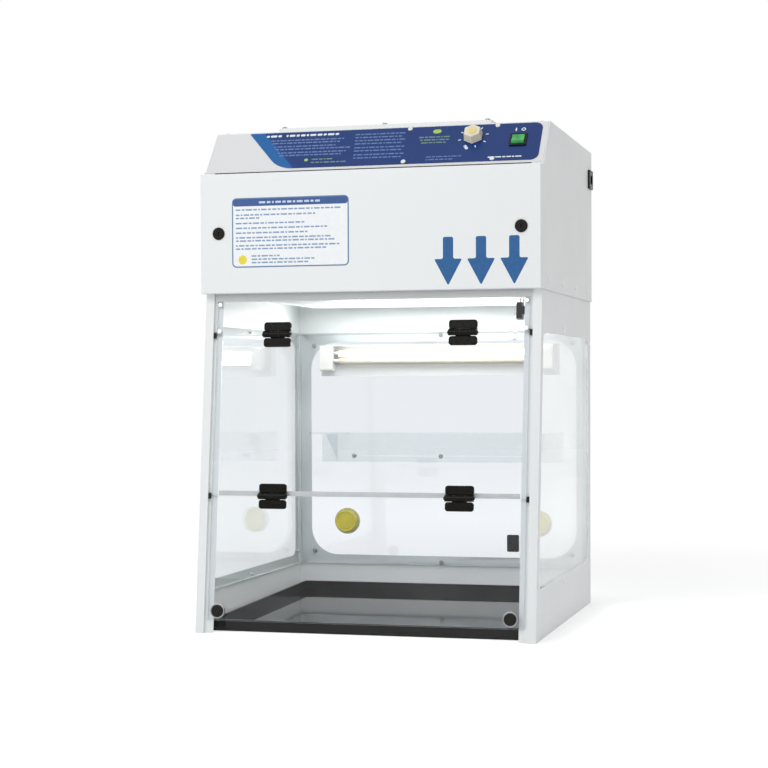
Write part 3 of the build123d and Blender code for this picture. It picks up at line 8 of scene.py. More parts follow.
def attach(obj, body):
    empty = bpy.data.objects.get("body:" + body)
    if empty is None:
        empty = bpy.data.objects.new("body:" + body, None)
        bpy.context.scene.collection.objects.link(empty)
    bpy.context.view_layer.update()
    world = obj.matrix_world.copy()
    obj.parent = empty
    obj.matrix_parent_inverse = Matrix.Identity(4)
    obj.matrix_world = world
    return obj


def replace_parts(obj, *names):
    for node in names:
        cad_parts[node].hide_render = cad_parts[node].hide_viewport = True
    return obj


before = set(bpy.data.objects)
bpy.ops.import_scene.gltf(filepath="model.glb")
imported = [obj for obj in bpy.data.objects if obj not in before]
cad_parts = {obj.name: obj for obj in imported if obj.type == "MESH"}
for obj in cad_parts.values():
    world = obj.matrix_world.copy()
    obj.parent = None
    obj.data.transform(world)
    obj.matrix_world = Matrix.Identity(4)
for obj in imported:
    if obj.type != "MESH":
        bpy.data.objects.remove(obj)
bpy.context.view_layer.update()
scene = bpy.context.scene
scene.view_settings.view_transform = "Standard"

MM = 0.001

# Places shared with the model, in millimetres
DOOR_FACE = -257.0
SLOPE_FOOT = (-230.0, 812.0)
SLOPE_TOP = (-166.0, 889.0)
OVERLAY_FACE = 0.8
LEAN = math.atan2(68.0, 596.0)
CHAMBER_FRONT = -303.0
PANE_FACE = 6.7
SASH_KNOBS = (-260.0, 260.0)
SASH_KNOB_HEIGHT = 39.5
SPEED_KNOB = (174.0, 66.0)
SWITCH = (254.5, 54.5)
PORT_PLUGS = {"left_port_plug": -199.0, "right_port_plug": 199.0}
PORT_HEIGHT = 155.0
PORT_FRONT = 290.3
TUBE_REAR = 254.0
TUBE_HEIGHTS = (481.5, 497.0)
TUBE_HALF = 211.7

# The blue film's outline on the slope, and how thick and how high print lies, in millimetres
SLOPE_LENGTH = 100.0
FILM_LEFT = -242.0
FILM_RIGHT = 294.0
FILM_LOW = 5.0
FILM_HIGH = 97.0
FILM_SLANT = 72.0
BAND_WIDTH = 26.0
INK_THICKNESS = 0.08
PRINT_LIFT = 0.02
LABEL_LIFTS = {"border": 0.02, "film": 0.1, "heading": 0.15, "print": 0.2, "title": 0.24}


def slope_frame():
    """The sloped panel's own axes: X across, Y up the slope, Z out of it."""
    rise = Vector((0.0, SLOPE_TOP[0] - SLOPE_FOOT[0], SLOPE_TOP[1] - SLOPE_FOOT[1])).normalized()
    across = Vector((1.0, 0.0, 0.0))
    return turned(across, rise, Vector((0.0, SLOPE_FOOT[0], SLOPE_FOOT[1])))


def front_frame(height):
    """The leaning front's own axes at a height: X across, Y up the lean, Z outward."""
    rise = Vector((0.0, math.sin(LEAN), math.cos(LEAN)))
    place = Vector((0.0, CHAMBER_FRONT + height * math.tan(LEAN), height))
    return turned(Vector((1.0, 0.0, 0.0)), rise, place)


def door_frame():
    """The filter door's own axes: X across, Y up, Z forward out of it."""
    return turned(Vector((1.0, 0.0, 0.0)), Vector((0.0, 0.0, 1.0)), Vector((0.0, DOOR_FACE, 0.0)))


def back_frame(depth, height):
    """Axes that face forward from the back wall: X across, Y up, Z forward."""
    return turned(Vector((1.0, 0.0, 0.0)), Vector((0.0, 0.0, 1.0)), Vector((0.0, depth, height)))


def turned(across, rise, place):
    out = across.cross(rise)
    axes = Matrix((across, rise, out)).transposed().to_4x4()
    return Matrix.Translation(place) @ axes


# Materials

def paint(red, green, blue):
    """A colour as it looks on screen, from 0 to 255, in the numbers that a shader takes."""
    shades = []
    for value in (red, green, blue):
        level = value / 255.0
        shades.append(level / 12.92 if level <= 0.04045 else ((level + 0.055) / 1.055) ** 2.4)
    return (*shades, 1.0)


class Finish:
    """A material under construction: its node tree and its main shader."""

    def __init__(self, name, metallic=0.0, roughness=0.4):
        self.material = bpy.data.materials.new(name)
        self.material.use_nodes = True
        self.tree = self.material.node_tree
        self.shader = self.tree.nodes["Principled BSDF"]
        self.output = self.tree.nodes["Material Output"]
        self.shader.inputs["Metallic"].default_value = metallic
        self.shader.inputs["Roughness"].default_value = roughness
        self.place = self.tree.nodes.new("ShaderNodeTexCoord")

    def node(self, kind, **settings):
        made = self.tree.nodes.new(kind)
        for setting, value in settings.items():
            setattr(made, setting, value)
        return made

    def link(self, source, target):
        self.tree.links.new(source, target)

    def mapped(self, stretch=(1.0, 1.0, 1.0), shift=(0.0, 0.0, 0.0)):
        mapping = self.node("ShaderNodeMapping")
        mapping.inputs["Scale"].default_value = stretch
        mapping.inputs["Location"].default_value = shift
        self.link(self.place.outputs["Object"], mapping.inputs["Vector"])
        return mapping.outputs["Vector"]

    def noise(self, scale, detail=2.0, stretch=(1.0, 1.0, 1.0)):
        noise = self.node("ShaderNodeTexNoise")
        noise.inputs["Scale"].default_value = scale
        noise.inputs["Detail"].default_value = detail
        self.link(self.mapped(stretch), noise.inputs["Vector"])
        return noise.outputs["Fac"]

    def cells(self, scale):
        cells = self.node("ShaderNodeTexVoronoi")
        cells.inputs["Scale"].default_value = scale
        self.link(self.mapped(), cells.inputs["Vector"])
        return cells.outputs["Distance"]

    def math(self, operation, first, second=None):
        step = self.node("ShaderNodeMath", operation=operation)
        for socket, value in zip(step.inputs, (first, second)):
            if isinstance(value, (int, float)):
                socket.default_value = value
            elif value is not None:
                self.link(value, socket)
        return step.outputs["Value"]

    def spread(self, amount, low, high, from_low=0.3, from_high=0.7):
        """An amount from a pattern, brought to run from low to high."""
        spread = self.node("ShaderNodeMapRange")
        self.link(amount, spread.inputs["Value"])
        ends = (("From Min", from_low), ("From Max", from_high), ("To Min", low), ("To Max", high))
        for name, value in ends:
            spread.inputs[name].default_value = value
        return spread.outputs["Result"]

    def mixed(self, amount, first, second):
        mix = self.node("ShaderNodeMix", data_type="RGBA")
        self.link(amount, mix.inputs["Factor"])
        for socket, value in ((mix.inputs["A"], first), (mix.inputs["B"], second)):
            if isinstance(value, tuple):
                socket.default_value = value
            else:
                self.link(value, socket)
        return mix.outputs["Result"]

    def mottled(self, pattern, first, second):
        """Two shades of one colour, mixed by a pattern."""
        return self.mixed(self.spread(pattern, 0.0, 1.0), first, second)

    def colour(self, source):
        self.link(source, self.shader.inputs["Base Color"])

    def roughness(self, source):
        self.link(source, self.shader.inputs["Roughness"])

    def relief(self, height, strength, distance):
        bump = self.node("ShaderNodeBump")
        bump.inputs["Strength"].default_value = strength
        bump.inputs["Distance"].default_value = distance
        self.link(height, bump.inputs["Height"])
        self.link(bump.outputs["Normal"], self.shader.inputs["Normal"])


def coated_metal(name, light, dark, gloss=(0.34, 0.46)):
    """Powder-coated sheet: a fine even skin with a faint orange peel."""
    coat = Finish(name)
    coat.colour(coat.mottled(coat.noise(2.2, 3.0), light, dark))
    coat.roughness(coat.spread(coat.noise(14.0), *gloss))
    coat.relief(coat.noise(520.0, 2.0), 0.12, 0.0004)
    return coat.material


def moulded(name, light, dark, gloss=(0.3, 0.45), grain=1400.0, strength=0.2, shine=0.5):
    """Moulded plastic with a spark-eroded skin."""
    plastic = Finish(name)
    plastic.shader.inputs["Specular IOR Level"].default_value = shine
    plastic.colour(plastic.mottled(plastic.noise(45.0, 3.0), light, dark))
    plastic.roughness(plastic.spread(plastic.noise(90.0), *gloss))
    plastic.relief(plastic.noise(grain, 2.0), strength, 0.0002)
    return plastic.material


def brushed(name, light, dark, stretch=(1.0, 1.0, 40.0), gloss=(0.22, 0.42)):
    """Bare metal with the fine lines that rolling or turning leaves."""
    metal = Finish(name, metallic=1.0)
    lines = metal.noise(260.0, 3.0, stretch)
    metal.colour(metal.mottled(lines, light, dark))
    metal.roughness(metal.spread(lines, *gloss))
    metal.relief(lines, 0.08, 0.0002)
    return metal.material


def clear_sheet(name, facing, tint, haze=0.05, edge=0.8):
    """Clear acrylic sheet: mirrors at a shallow angle, and is milky at its sawn edges."""
    sheet = Finish(name, metallic=1.0, roughness=0.03)
    sheet.colour(sheet.mottled(sheet.noise(6.0), paint(250, 252, 252), paint(238, 241, 242)))
    window = sheet.node("ShaderNodeBsdfTransparent")
    window.inputs["Color"].default_value = tint
    slant = sheet.node("ShaderNodeLayerWeight")
    slant.inputs["Blend"].default_value = 0.5
    mirror = sheet.math("MULTIPLY", sheet.math("POWER", slant.outputs["Facing"], 5.0), 0.9)
    smears = sheet.spread(sheet.noise(9.0, 4.0, (1.0, 1.0, 0.35)), haze * 0.7, haze * 1.3)
    glint = sheet.math("ADD", mirror, smears)
    across = sheet.node("ShaderNodeVectorMath", operation="DOT_PRODUCT")
    sheet.link(sheet.place.outputs["Normal"], across.inputs[0])
    across.inputs[1].default_value = facing
    sawn = sheet.math("LESS_THAN", sheet.math("ABSOLUTE", across.outputs["Value"]), 0.6)
    milky = sheet.node("ShaderNodeBsdfDiffuse")
    milky.inputs["Color"].default_value = paint(236, 240, 240)
    face = sheet.node("ShaderNodeMixShader")
    sheet.link(glint, face.inputs["Fac"])
    sheet.link(window.outputs["BSDF"], face.inputs[1])
    sheet.link(sheet.shader.outputs["BSDF"], face.inputs[2])
    rim = sheet.node("ShaderNodeMixShader")
    sheet.link(sheet.math("MULTIPLY", sawn, edge), rim.inputs["Fac"])
    sheet.link(face.outputs["Shader"], rim.inputs[1])
    sheet.link(milky.outputs["BSDF"], rim.inputs[2])
    sheet.link(rim.outputs["Shader"], sheet.output.inputs["Surface"])
    return sheet.material


def polished_tray(name):
    """Glossy black tray with a thin film of dust and wiping marks."""
    tray = Finish(name, roughness=0.04)
    tray.shader.inputs["Specular IOR Level"].default_value = 0.3
    dust = tray.noise(7.0, 5.0, (1.0, 1.6, 1.0))
    tray.colour(tray.mottled(dust, paint(8, 7, 6), paint(13, 12, 11)))
    tray.roughness(tray.spread(dust, 0.02, 0.07))
    tray.relief(tray.noise(160.0, 2.0), 0.01, 0.0003)
    return tray.material


def printed_film(name):
    """The control panel's blue film, with a lighter slanting band at its left end."""
    film = Finish(name, roughness=0.3)
    film.shader.inputs["Specular IOR Level"].default_value = 0.2
    rise = (SLOPE_TOP[1] - SLOPE_FOOT[1]) * MM
    covered = (FILM_HIGH - FILM_LOW) / SLOPE_LENGTH
    slant = FILM_SLANT * MM / (covered * rise)
    sides = film.node("ShaderNodeSeparateXYZ")
    band_edge = (FILM_LEFT + BAND_WIDTH) * MM
    film.link(film.mapped(shift=(-band_edge, 0.0, -SLOPE_TOP[1] * MM)), sides.inputs["Vector"])
    from_edge = film.math("ADD", sides.outputs["X"], film.math("MULTIPLY", sides.outputs["Z"], slant))
    band = film.spread(from_edge, 0.0, 1.0, -0.002, 0.001)
    shadow = film.spread(from_edge, 0.0, 1.0, 0.0, 0.014)
    deep = film.mottled(film.noise(5.0, 2.0), paint(22, 54, 114), paint(26, 58, 120))
    body = film.mixed(shadow, paint(28, 60, 124), deep)
    film.colour(film.mixed(band, paint(24, 98, 164), body))
    film.roughness(film.spread(film.noise(30.0), 0.24, 0.36))
    film.relief(film.noise(900.0), 0.06, 0.0002)
    return film.material


def ink(name, colour, second):
    """A layer of print: nearly flat, with the slight mottle of screen ink."""
    print_layer = Finish(name, roughness=0.42)
    print_layer.colour(print_layer.mottled(print_layer.noise(120.0), colour, second))
    print_layer.roughness(print_layer.spread(print_layer.noise(60.0), 0.36, 0.5))
    return print_layer.material


def lit_rocker(name):
    """Translucent green rocker with a lamp behind it, its glow uneven in patches."""
    rocker = Finish(name, roughness=0.25)
    glow = rocker.noise(60.0, 1.0)
    green = rocker.mottled(glow, paint(16, 116, 48), paint(48, 176, 84))
    rocker.colour(green)
    rocker.link(green, rocker.shader.inputs["Emission Color"])
    rocker.shader.inputs["Emission Strength"].default_value = 0.25
    rocker.relief(rocker.noise(700.0), 0.05, 0.0002)
    return rocker.material


def glowing_tube(name, colour, strength):
    """A lamp tube: white phosphor behind glass, dimmer at its ends."""
    tube = Finish(name, roughness=0.12)
    sides = tube.node("ShaderNodeSeparateXYZ")
    tube.link(tube.place.outputs["Object"], sides.inputs["Vector"])
    lit_half, glass_half = 0.185, 0.21
    ends = tube.spread(tube.math("ABSOLUTE", sides.outputs["X"]), 1.0, 0.0, lit_half, glass_half)
    shade = tube.mixed(ends, paint(196, 186, 168), colour)
    tube.colour(shade)
    tube.link(shade, tube.shader.inputs["Emission Color"])
    tube.shader.inputs["Emission Strength"].default_value = strength
    tube.roughness(tube.spread(tube.noise(40.0), 0.08, 0.16))
    return tube.material


def pleated_paper(name):
    """Filter paper with its fibres."""
    paper = Finish(name, roughness=0.85)
    fibres = paper.noise(420.0, 4.0, (1.0, 6.0, 1.0))
    paper.colour(paper.mottled(fibres, paint(240, 240, 232), paint(226, 226, 216)))
    paper.relief(fibres, 0.25, 0.0003)
    return paper.material


def open_foam(name, light, dark):
    """Open-cell foam: small pits, with painted shade darkening each pit."""
    foam = Finish(name, roughness=0.95)
    pores = foam.cells(420.0)
    # Painted shade: the colour darkens towards each pore's middle, where the bump sinks into a pit.
    foam.colour(foam.mixed(foam.spread(pores, 0.0, 1.0, 0.1, 0.5), dark, light))
    foam.relief(pores, 0.6, 0.0012)
    return foam.material


def soft_rubber(name, light, dark):
    """Soft rubber bung, matt and a little uneven."""
    rubber = Finish(name, roughness=0.5)
    rubber.colour(rubber.mottled(rubber.noise(70.0, 3.0), light, dark))
    rubber.shader.inputs["Subsurface Weight"].default_value = 0.15
    rubber.shader.inputs["Subsurface Scale"].default_value = 0.004
    rubber.roughness(rubber.spread(rubber.noise(50.0), 0.42, 0.6))
    rubber.relief(rubber.noise(600.0), 0.1, 0.0003)
    return rubber.material


white_coat = coated_metal("white_powder_coat", paint(237, 240, 240), paint(233, 236, 237))
# The control panel and the filter door have the same white powder coat. The panel's copy is painted
# darker as shade on the slope, and the door's copy is painted a touch lighter as light.
slope_coat_painted_shade = coated_metal("control_panel_coat_painted_shade", paint(227, 228, 228), paint(222, 223, 224))
door_coat_painted_light = coated_metal("filter_door_coat_painted_light", paint(238, 241, 242), paint(235, 239, 240))
side_clear = clear_sheet("side_glazing_clear", (1.0, 0.0, 0.0), paint(251, 252, 252))
back_clear = clear_sheet("back_glazing_clear", (0.0, 1.0, 0.0), paint(250, 251, 252))
sash_clear = clear_sheet("sash_clear", (0.0, -math.cos(LEAN), math.sin(LEAN)), paint(250, 251, 252),
                         haze=0.02)
shelf_clear = clear_sheet("shelf_clear", (0.0, 0.0, 1.0), paint(248, 250, 251), 0.04, 0.1)
tray_black = polished_tray("tray_polished_black")
black_moulding = moulded("black_moulding", paint(24, 23, 21), paint(17, 16, 15), shine=0.2)
hinge_moulding = moulded("hinge_black_moulding", paint(17, 15, 11), paint(11, 10, 7),
                         gloss=(0.22, 0.34), grain=1100.0, strength=0.12, shine=0.12)
white_moulding = moulded("white_moulding", paint(238, 238, 234), paint(230, 230, 226))
frosted_seal = moulded("frosted_joint_strip", paint(240, 241, 241), paint(231, 233, 234), (0.35, 0.5))
cream_moulding = moulded("cream_knob_moulding", paint(236, 231, 212), paint(226, 219, 196), (0.28, 0.4))
green_rocker = lit_rocker("green_rocker_lit")
yellow_bung = soft_rubber("yellow_bung_rubber", paint(221, 207, 58), paint(206, 190, 38))
blue_film = printed_film("blue_control_film")
bright_rivet = brushed("rivet_bright_metal", paint(226, 227, 228), paint(196, 198, 200))
screw_steel = brushed("screw_steel", paint(170, 170, 170), paint(128, 128, 130))
black_zinc = brushed("black_zinc", paint(46, 44, 42), paint(26, 25, 24), gloss=(0.3, 0.5))
mill_aluminium = brushed("mill_aluminium", paint(206, 208, 210), paint(182, 184, 187))
motor_black = coated_metal("motor_black_coat", paint(44, 44, 46), paint(32, 32, 34), (0.4, 0.55))
tube_white = glowing_tube("white_tube_lit", paint(255, 250, 236), 1.6)
tube_clear = glowing_tube("germicidal_tube_glass", paint(214, 206, 190), 0.0)
filter_paper = pleated_paper("pleated_filter_paper")
grey_foam = open_foam("grey_open_foam", paint(120, 122, 124), paint(70, 72, 74))
pink_wire = moulded("pink_wire_sleeve", paint(214, 150, 160), paint(196, 128, 140))

NODE_FINISHES = {
    white_coat: """left_side_panel right_side_panel back_panel rear_rail header_rail diffuser_grille
        plenum_shelf fan_deck head_case top_cover prefilter_frame lamp_housing""",
    slope_coat_painted_shade: "control_panel",
    door_coat_painted_light: "filter_door",
    side_clear: "left_glazing right_glazing",
    back_clear: "back_glazing",
    sash_clear: "sash_top_strip sash_middle_pane sash_lower_pane",
    shelf_clear: "equipment_shelf",
    tray_black: "spill_tray",
    black_moulding: """outlet_socket edge_bumpers safety_switch switch_frame power_inlet sash_knobs
        speed_control""",
    hinge_moulding: """upper_hinge_leaves_and_pins upper_hinge_swing_leaves lower_hinge_leaves_and_pins
        lower_hinge_swing_leaves""",
    white_moulding: "lamp_holders overlay_screws",
    frosted_seal: "sash_joint_seal",
    cream_moulding: "speed_knob",
    green_rocker: "power_rocker",
    yellow_bung: "left_port_plug right_port_plug",
    blue_film: "control_overlay",
    bright_rivet: "case_rivets safety_switch_lever motor_bracket filter_clamps",
    screw_steel: "case_screws prefilter_screws",
    black_zinc: "left_lock_cam right_lock_cam lock_barrels_and_nuts",
    motor_black: "fan_motor",
    mill_aluminium: "filter_frame fan_impeller lamp_ballast",
    tube_white: "white_tube",
    tube_clear: "uv_tube",
    filter_paper: "filter_pleats",
    grey_foam: "filter_gasket prefilter_pad",
    pink_wire: "safety_switch_wires",
}


def dress_frame():
    """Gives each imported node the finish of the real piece."""
    for finish, names in NODE_FINISHES.items():
        for name in names.split():
            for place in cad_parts[name].material_slots:
                place.material = finish


# Pieces that only the scene has

def make_piece(name, form, body, finish):
    """Closes a form as an object in metres that rides on a body."""
    bmesh.ops.scale(form, vec=(MM, MM, MM), verts=form.verts)
    mesh = bpy.data.meshes.new(name)
    form.to_mesh(mesh)
    form.free()
    mesh.shade_smooth()
    mesh.set_sharp_from_angle(angle=math.radians(35.0))
    mesh.materials.append(finish)
    made = bpy.data.objects.new(name, mesh)
    scene.collection.objects.link(made)
    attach(made, body)
    return made


def place_form(form, geometry, axes, centre, turn=0.0):
    """Puts a form drawn about its own origin at (across, up, out) on a plane's axes."""
    place = axes @ Matrix.Translation(centre) @ Matrix.Rotation(turn, 4, "Z")
    bmesh.ops.transform(form, matrix=place, verts=geometry)


def raise_faces(form, faces, thickness):
    """Gives flat faces a thickness, and returns the points of the new side."""
    raised = bmesh.ops.extrude_face_region(form, geom=faces, use_keep_orig=True)
    lifted = [item for item in raised["geom"] if isinstance(item, bmesh.types.BMVert)]
    bmesh.ops.translate(form, vec=(0.0, 0.0, thickness), verts=lifted)
    return lifted


def round_corners(form, corners, offset, steps):
    """Rounds a flat face's corners, each by the same offset along its edges."""
    return bmesh.ops.bevel(form, geom=corners, offset=offset, segments=steps, profile=0.5,
                           affect="VERTICES", material=-1)


def flat_patch(form, width, height, corner, thickness):
    """A thin patch with rounded corners, its back on the plane and its face out. Returns its points."""
    made = bmesh.ops.create_grid(form, x_segments=1, y_segments=1, size=0.5)
    bmesh.ops.scale(form, vec=(width, height, 1.0), verts=made["verts"])
    old = set(form.verts) - set(made["verts"])
    round_corners(form, made["verts"], corner, 4)
    fresh = [point for point in form.verts if point not in old]
    raise_faces(form, list({face for point in fresh for face in point.link_faces}), thickness)
    fresh = [point for point in form.verts if point not in old]
    faces = {face for point in fresh for face in point.link_faces}
    bmesh.ops.recalc_face_normals(form, faces=list(faces))
    return fresh


def patches(name, body, finish, axes, rows, thickness, lift):
    """One piece of print: patches given as (across, up, width, height, corner, turn)."""
    form = bmesh.new()
    for across, up, width, height, corner, turn in rows:
        points = flat_patch(form, width, height, corner, thickness)
        place_form(form, points, axes, (across, up, lift), turn)
    return make_piece(name, form, body, finish)


WORDS = (9.0, 5.5, 12.0, 7.0, 3.5, 10.5, 6.0, 8.0, 4.5, 11.0)


def text_line(left, up, length, tall, start=0, gap=2.0):
    """A line of print shown as word-long bars."""
    bars = []
    across = left
    word = start
    while across < left + length - 3.0:
        width = min(WORDS[word % len(WORDS)], left + length - across)
        bars.append((across + width / 2, up, width, tall, tall * 0.3, 0.0))
        across += width + gap
        word += 1
    return bars


def door_label():
    """The instruction sheet on the filter door: a film with a border, a heading and lines of print."""
    across, up, width, height = -139.0, 702.0, 214.0, 122.0
    border = 4.4
    heading = up + height / 2 - 8.4
    axes = door_frame()

    def layer(name, finish, rows, thickness, level):
        patches(name, "filter_door", finish, axes, rows, thickness, LABEL_LIFTS[level])

    layer("door_label_border",
          ink("label_border_ink", paint(92, 128, 168), paint(84, 120, 162)),
          [(across, up, width, height, 8.0, 0.0)], 0.15, "border")
    layer("door_label_film",
          ink("label_film_white", paint(246, 249, 251), paint(241, 245, 248)),
          [(across, up, width - border, height - border, 6.2, 0.0)], 0.12, "film")
    layer("door_label_heading",
          ink("label_heading_ink", paint(40, 76, 140), paint(48, 86, 150)),
          [(across, heading, width - border, 12.5, 4.0, 0.0)], 0.12, "heading")
    layer("door_label_title",
          ink("label_title_ink", paint(206, 220, 238), paint(190, 208, 230)),
          text_line(-196.0, heading, 112.0, 3.6, 2, 2.6), 0.1, "title")
    grey_blue = ink("label_text_ink", paint(120, 146, 182), paint(140, 164, 196))
    paragraphs = (
        (-239.0, 3, ((742.0, 196.0), (733.0, 150.0), (727.4, 44.0), (718.4, 130.0), (710.0, 168.0),
                     (701.6, 136.0), (693.2, 178.0), (687.6, 184.0), (679.2, 190.0), (673.6, 170.0))),
        (-210.0, 5, ((661.0, 52.0), (655.2, 118.0), (649.4, 104.0))),
    )
    bars = []
    for left, stride, rows in paragraphs:
        for number, (row, length) in enumerate(rows):
            bars += text_line(left, row, length, 2.6, stride * number)
    layer("door_label_print", grey_blue, bars, INK_THICKNESS, "print")
    layer("door_label_spot",
          ink("label_spot_ink", paint(236, 222, 62), paint(224, 208, 48)),
          [(-226.5, 654.5, 16.0, 16.0, 7.9, 0.0)], INK_THICKNESS, "print")


def airflow_arrows():
    """Three downward arrows on the filter door that show which way the air goes."""
    form = bmesh.new()
    axes = door_frame()
    shaft, wing, tall, neck = 9.0, 24.5, 41.5, 4.0
    outline = ((-shaft, tall), (shaft, tall), (shaft, neck), (wing, neck), (0.0, -tall), (-wing, neck),
               (-shaft, neck))
    middle_height, corner, thickness = 644.5, 3.2, 0.15
    for across in (144.0, 201.5, 259.0):
        corners = [form.verts.new((x, y, 0.0)) for x, y in outline]
        form.faces.new(corners)
        rounded = round_corners(form, corners, corner, 4)
        face = max(rounded["verts"][0].link_faces, key=lambda item: item.calc_area())
        lifted = raise_faces(form, [face], thickness)
        place_form(form, lifted + list(face.verts), axes, (across, middle_height, PRINT_LIFT))
    bmesh.ops.recalc_face_normals(form, faces=form.faces)
    make_piece("airflow_arrows", form, "filter_door",
               ink("arrow_blue_ink", paint(0, 82, 142), paint(8, 92, 150)))


def control_film():
    """The blue film on the sloped panel, slanted at its left and open at the switch and the spindle."""
    form = bmesh.new()
    outline = ((FILM_LEFT, FILM_HIGH, 3.0), (FILM_LEFT + FILM_SLANT, FILM_LOW, 24.4),
               (FILM_RIGHT, FILM_LOW, 14.0), (FILM_RIGHT, FILM_HIGH, 14.0))
    corners = [form.verts.new((across, up, 0.0)) for across, up, _ in outline]
    form.faces.new(corners)
    for corner, (_, _, cut) in zip(corners, outline):
        round_corners(form, [corner], cut, 8)
    for across, up, half in ((*SWITCH, 11.8), (*SPEED_KNOB, 4.0)):
        cuts = [((across + side, 0, 0), (1, 0, 0)) for side in (-half, half)]
        cuts += [((0, up + side, 0), (0, 1, 0)) for side in (-half, half)]
        for place, way in cuts:
            whole = form.verts[:] + form.edges[:] + form.faces[:]
            bmesh.ops.bisect_plane(form, geom=whole, plane_co=place, plane_no=way)
        middles = [(face, face.calc_center_median()) for face in form.faces]
        hole = [face for face, middle in middles
                if abs(middle.x - across) < half and abs(middle.y - up) < half]
        bmesh.ops.delete(form, geom=hole, context="FACES")
    raise_faces(form, form.faces[:], OVERLAY_FACE)
    bmesh.ops.recalc_face_normals(form, faces=form.faces)
    place_form(form, form.verts, slope_frame(), (0.0, 0.0, 0.0))
    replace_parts(make_piece("control_film", form, "cabinet", blue_film), "control_overlay")


def control_print():
    """The print on the control panel's film: headings, lines, dial marks and switch marks."""
    axes = slope_frame()
    pale = ink("film_white_ink", paint(236, 242, 248), paint(222, 232, 242))
    faint = ink("film_text_ink", paint(96, 124, 178), paint(84, 112, 168))
    lift = OVERLAY_FACE + PRINT_LIFT

    def printed(name, finish, rows):
        patches(name, "cabinet", finish, axes, rows, INK_THICKNESS, lift)

    title = text_line(-208.0, 88.0, 28.0, 5.0, 1, 2.0) + text_line(-171.0, 88.0, 98.0, 5.0, 4, 2.4)
    printed("film_title", pale, title)
    lines = []
    for number, up in enumerate((76.0, 69.0, 60.0, 53.0, 44.0, 37.0)):
        start = -198.0 + 0.6 * (76.0 - up)
        lines += text_line(start, up, 138.0 - 12.0 * (number % 3), 3.2, 2 * number, 1.6)
    for number, up in enumerate((84.0, 76.0, 68.0, 60.0, 50.0, 42.0, 32.0, 24.0)):
        start = -42.0 + 0.1 * (84.0 - up)
        lines += text_line(start, up, 94.0 - 8.0 * (number % 2), 3.0, 3 * number, 1.6)
    for number, up in enumerate((20.0, 13.0)):
        lines += text_line(96.0, up, 66.0 - 18.0 * number, 2.6, 4 * number, 1.6)
    printed("film_lines", faint, lines)
    yellow_green = ink("film_green_ink", paint(176, 206, 84), paint(158, 190, 76))
    marks = [(-122.0, 24.0, 7.0, 7.0, 3.4, 0.0), (107.0, 84.0, 15.0, 10.0, 4.9, 0.0)]
    printed("film_green_marks", yellow_green, marks)
    olive = ink("film_olive_ink", paint(112, 142, 118), paint(96, 128, 120))
    notes = text_line(-112.0, 25.0, 40.0, 2.8, 2, 1.6) + text_line(-112.0, 17.0, 64.0, 2.8, 6, 1.6)
    for number, up in enumerate((70.0, 63.0, 56.0)):
        notes += text_line(76.0 + 3.0 * number, up, 60.0 - 8.0 * number, 3.0, number, 1.6)
    printed("film_notes", olive, notes)
    dial = [dial_mark(-210.0 + 45.0 * step, 24.5, 5.0, 2.0, 0.6, 0.0) for step in range(7)]
    dial.append(dial_mark(-112.0, 27.0, 11.0, 5.0, 1.2, 0.9))
    on_mark, off_mark, mark_up = SWITCH[0] - 6.5, SWITCH[0] + 6.5, SWITCH[1] + 26.5
    switch = [(on_mark, mark_up, 2.4, 8.0, 1.0, 0.0), (off_mark, mark_up, 8.0, 8.0, 3.9, 0.0)]
    lower = text_line(206.0, 14.0, 62.0, 2.8, 3, 1.4)
    printed("film_dial_and_switch_marks", pale, dial + switch + lower)
    ring_blue = ink("film_ring_ink", paint(40, 70, 140), paint(44, 74, 146))
    centre = [(off_mark, mark_up, 4.6, 4.6, 2.25, 0.0)]
    thin = 0.06
    patches("film_ring_centre", "cabinet", ring_blue, axes, centre, thin, lift + thin)


def dial_mark(degrees, radius, length, wide, corner, twist):
    """One mark of the speed dial, at an angle round the knob."""
    turn = math.radians(degrees)
    across = SPEED_KNOB[0] + radius * math.cos(turn)
    up = SPEED_KNOB[1] + radius * math.sin(turn)
    return across, up, length, wide, corner, turn + twist


def turned_ring(form, profile, steps=40):
    """Turns a profile of (radius, out) points about the Z axis. A closed profile makes a ring."""
    points = [form.verts.new((radius, 0.0, out)) for radius, out in profile]
    edges = [form.edges.new(pair) for pair in zip(points, points[1:] + points[:1])]
    bmesh.ops.spin(form, geom=points + edges, cent=(0.0, 0.0, 0.0), axis=(0.0, 0.0, 1.0),
                   angle=2 * math.pi, steps=steps, use_merge=True)


def ring_pieces(name, body, finish, profile, places, steps=40):
    """Rings of one profile at several places, each given as its axes and centre."""
    form = bmesh.new()
    for axes, centre in places:
        old = set(form.verts)
        turned_ring(form, profile, steps)
        place_form(form, [point for point in form.verts if point not in old], axes, centre)
    bmesh.ops.remove_doubles(form, verts=form.verts, dist=0.001)
    bmesh.ops.recalc_face_normals(form, faces=form.faces)
    return make_piece(name, form, body, finish)


def knob_fittings():
    """Grey washers behind the sash knobs."""
    axes = front_frame(SASH_KNOB_HEIGHT)
    places = [(axes, (across, 0.0, PANE_FACE)) for across in SASH_KNOBS]
    washer = ((4.5, 0.1), (12.6, 0.1), (13.2, 0.5), (13.0, 1.2), (11.4, 1.5), (4.5, 1.5))
    ring_pieces("sash_knob_washers", "sash_lower", screw_steel, washer, places)


def port_plug_rings():
    """The raised rings on each bung's face."""
    for body, across in PORT_PLUGS.items():
        axes = back_frame(PORT_FRONT, PORT_HEIGHT)
        rings = ((13.0, -0.4), (15.4, -0.4), (15.0, 0.7), (13.4, 0.7))
        places = [(axes, (across, 0.0, 0.0))]
        ring_pieces(f"{body}_ring", body, yellow_bung, rings, places)
        rim = ((18.6, -0.4), (21.4, -0.4), (21.2, 1.0), (20.4, 1.5), (19.2, 1.2))
        ring_pieces(f"{body}_rim", body, yellow_bung, rim, places)


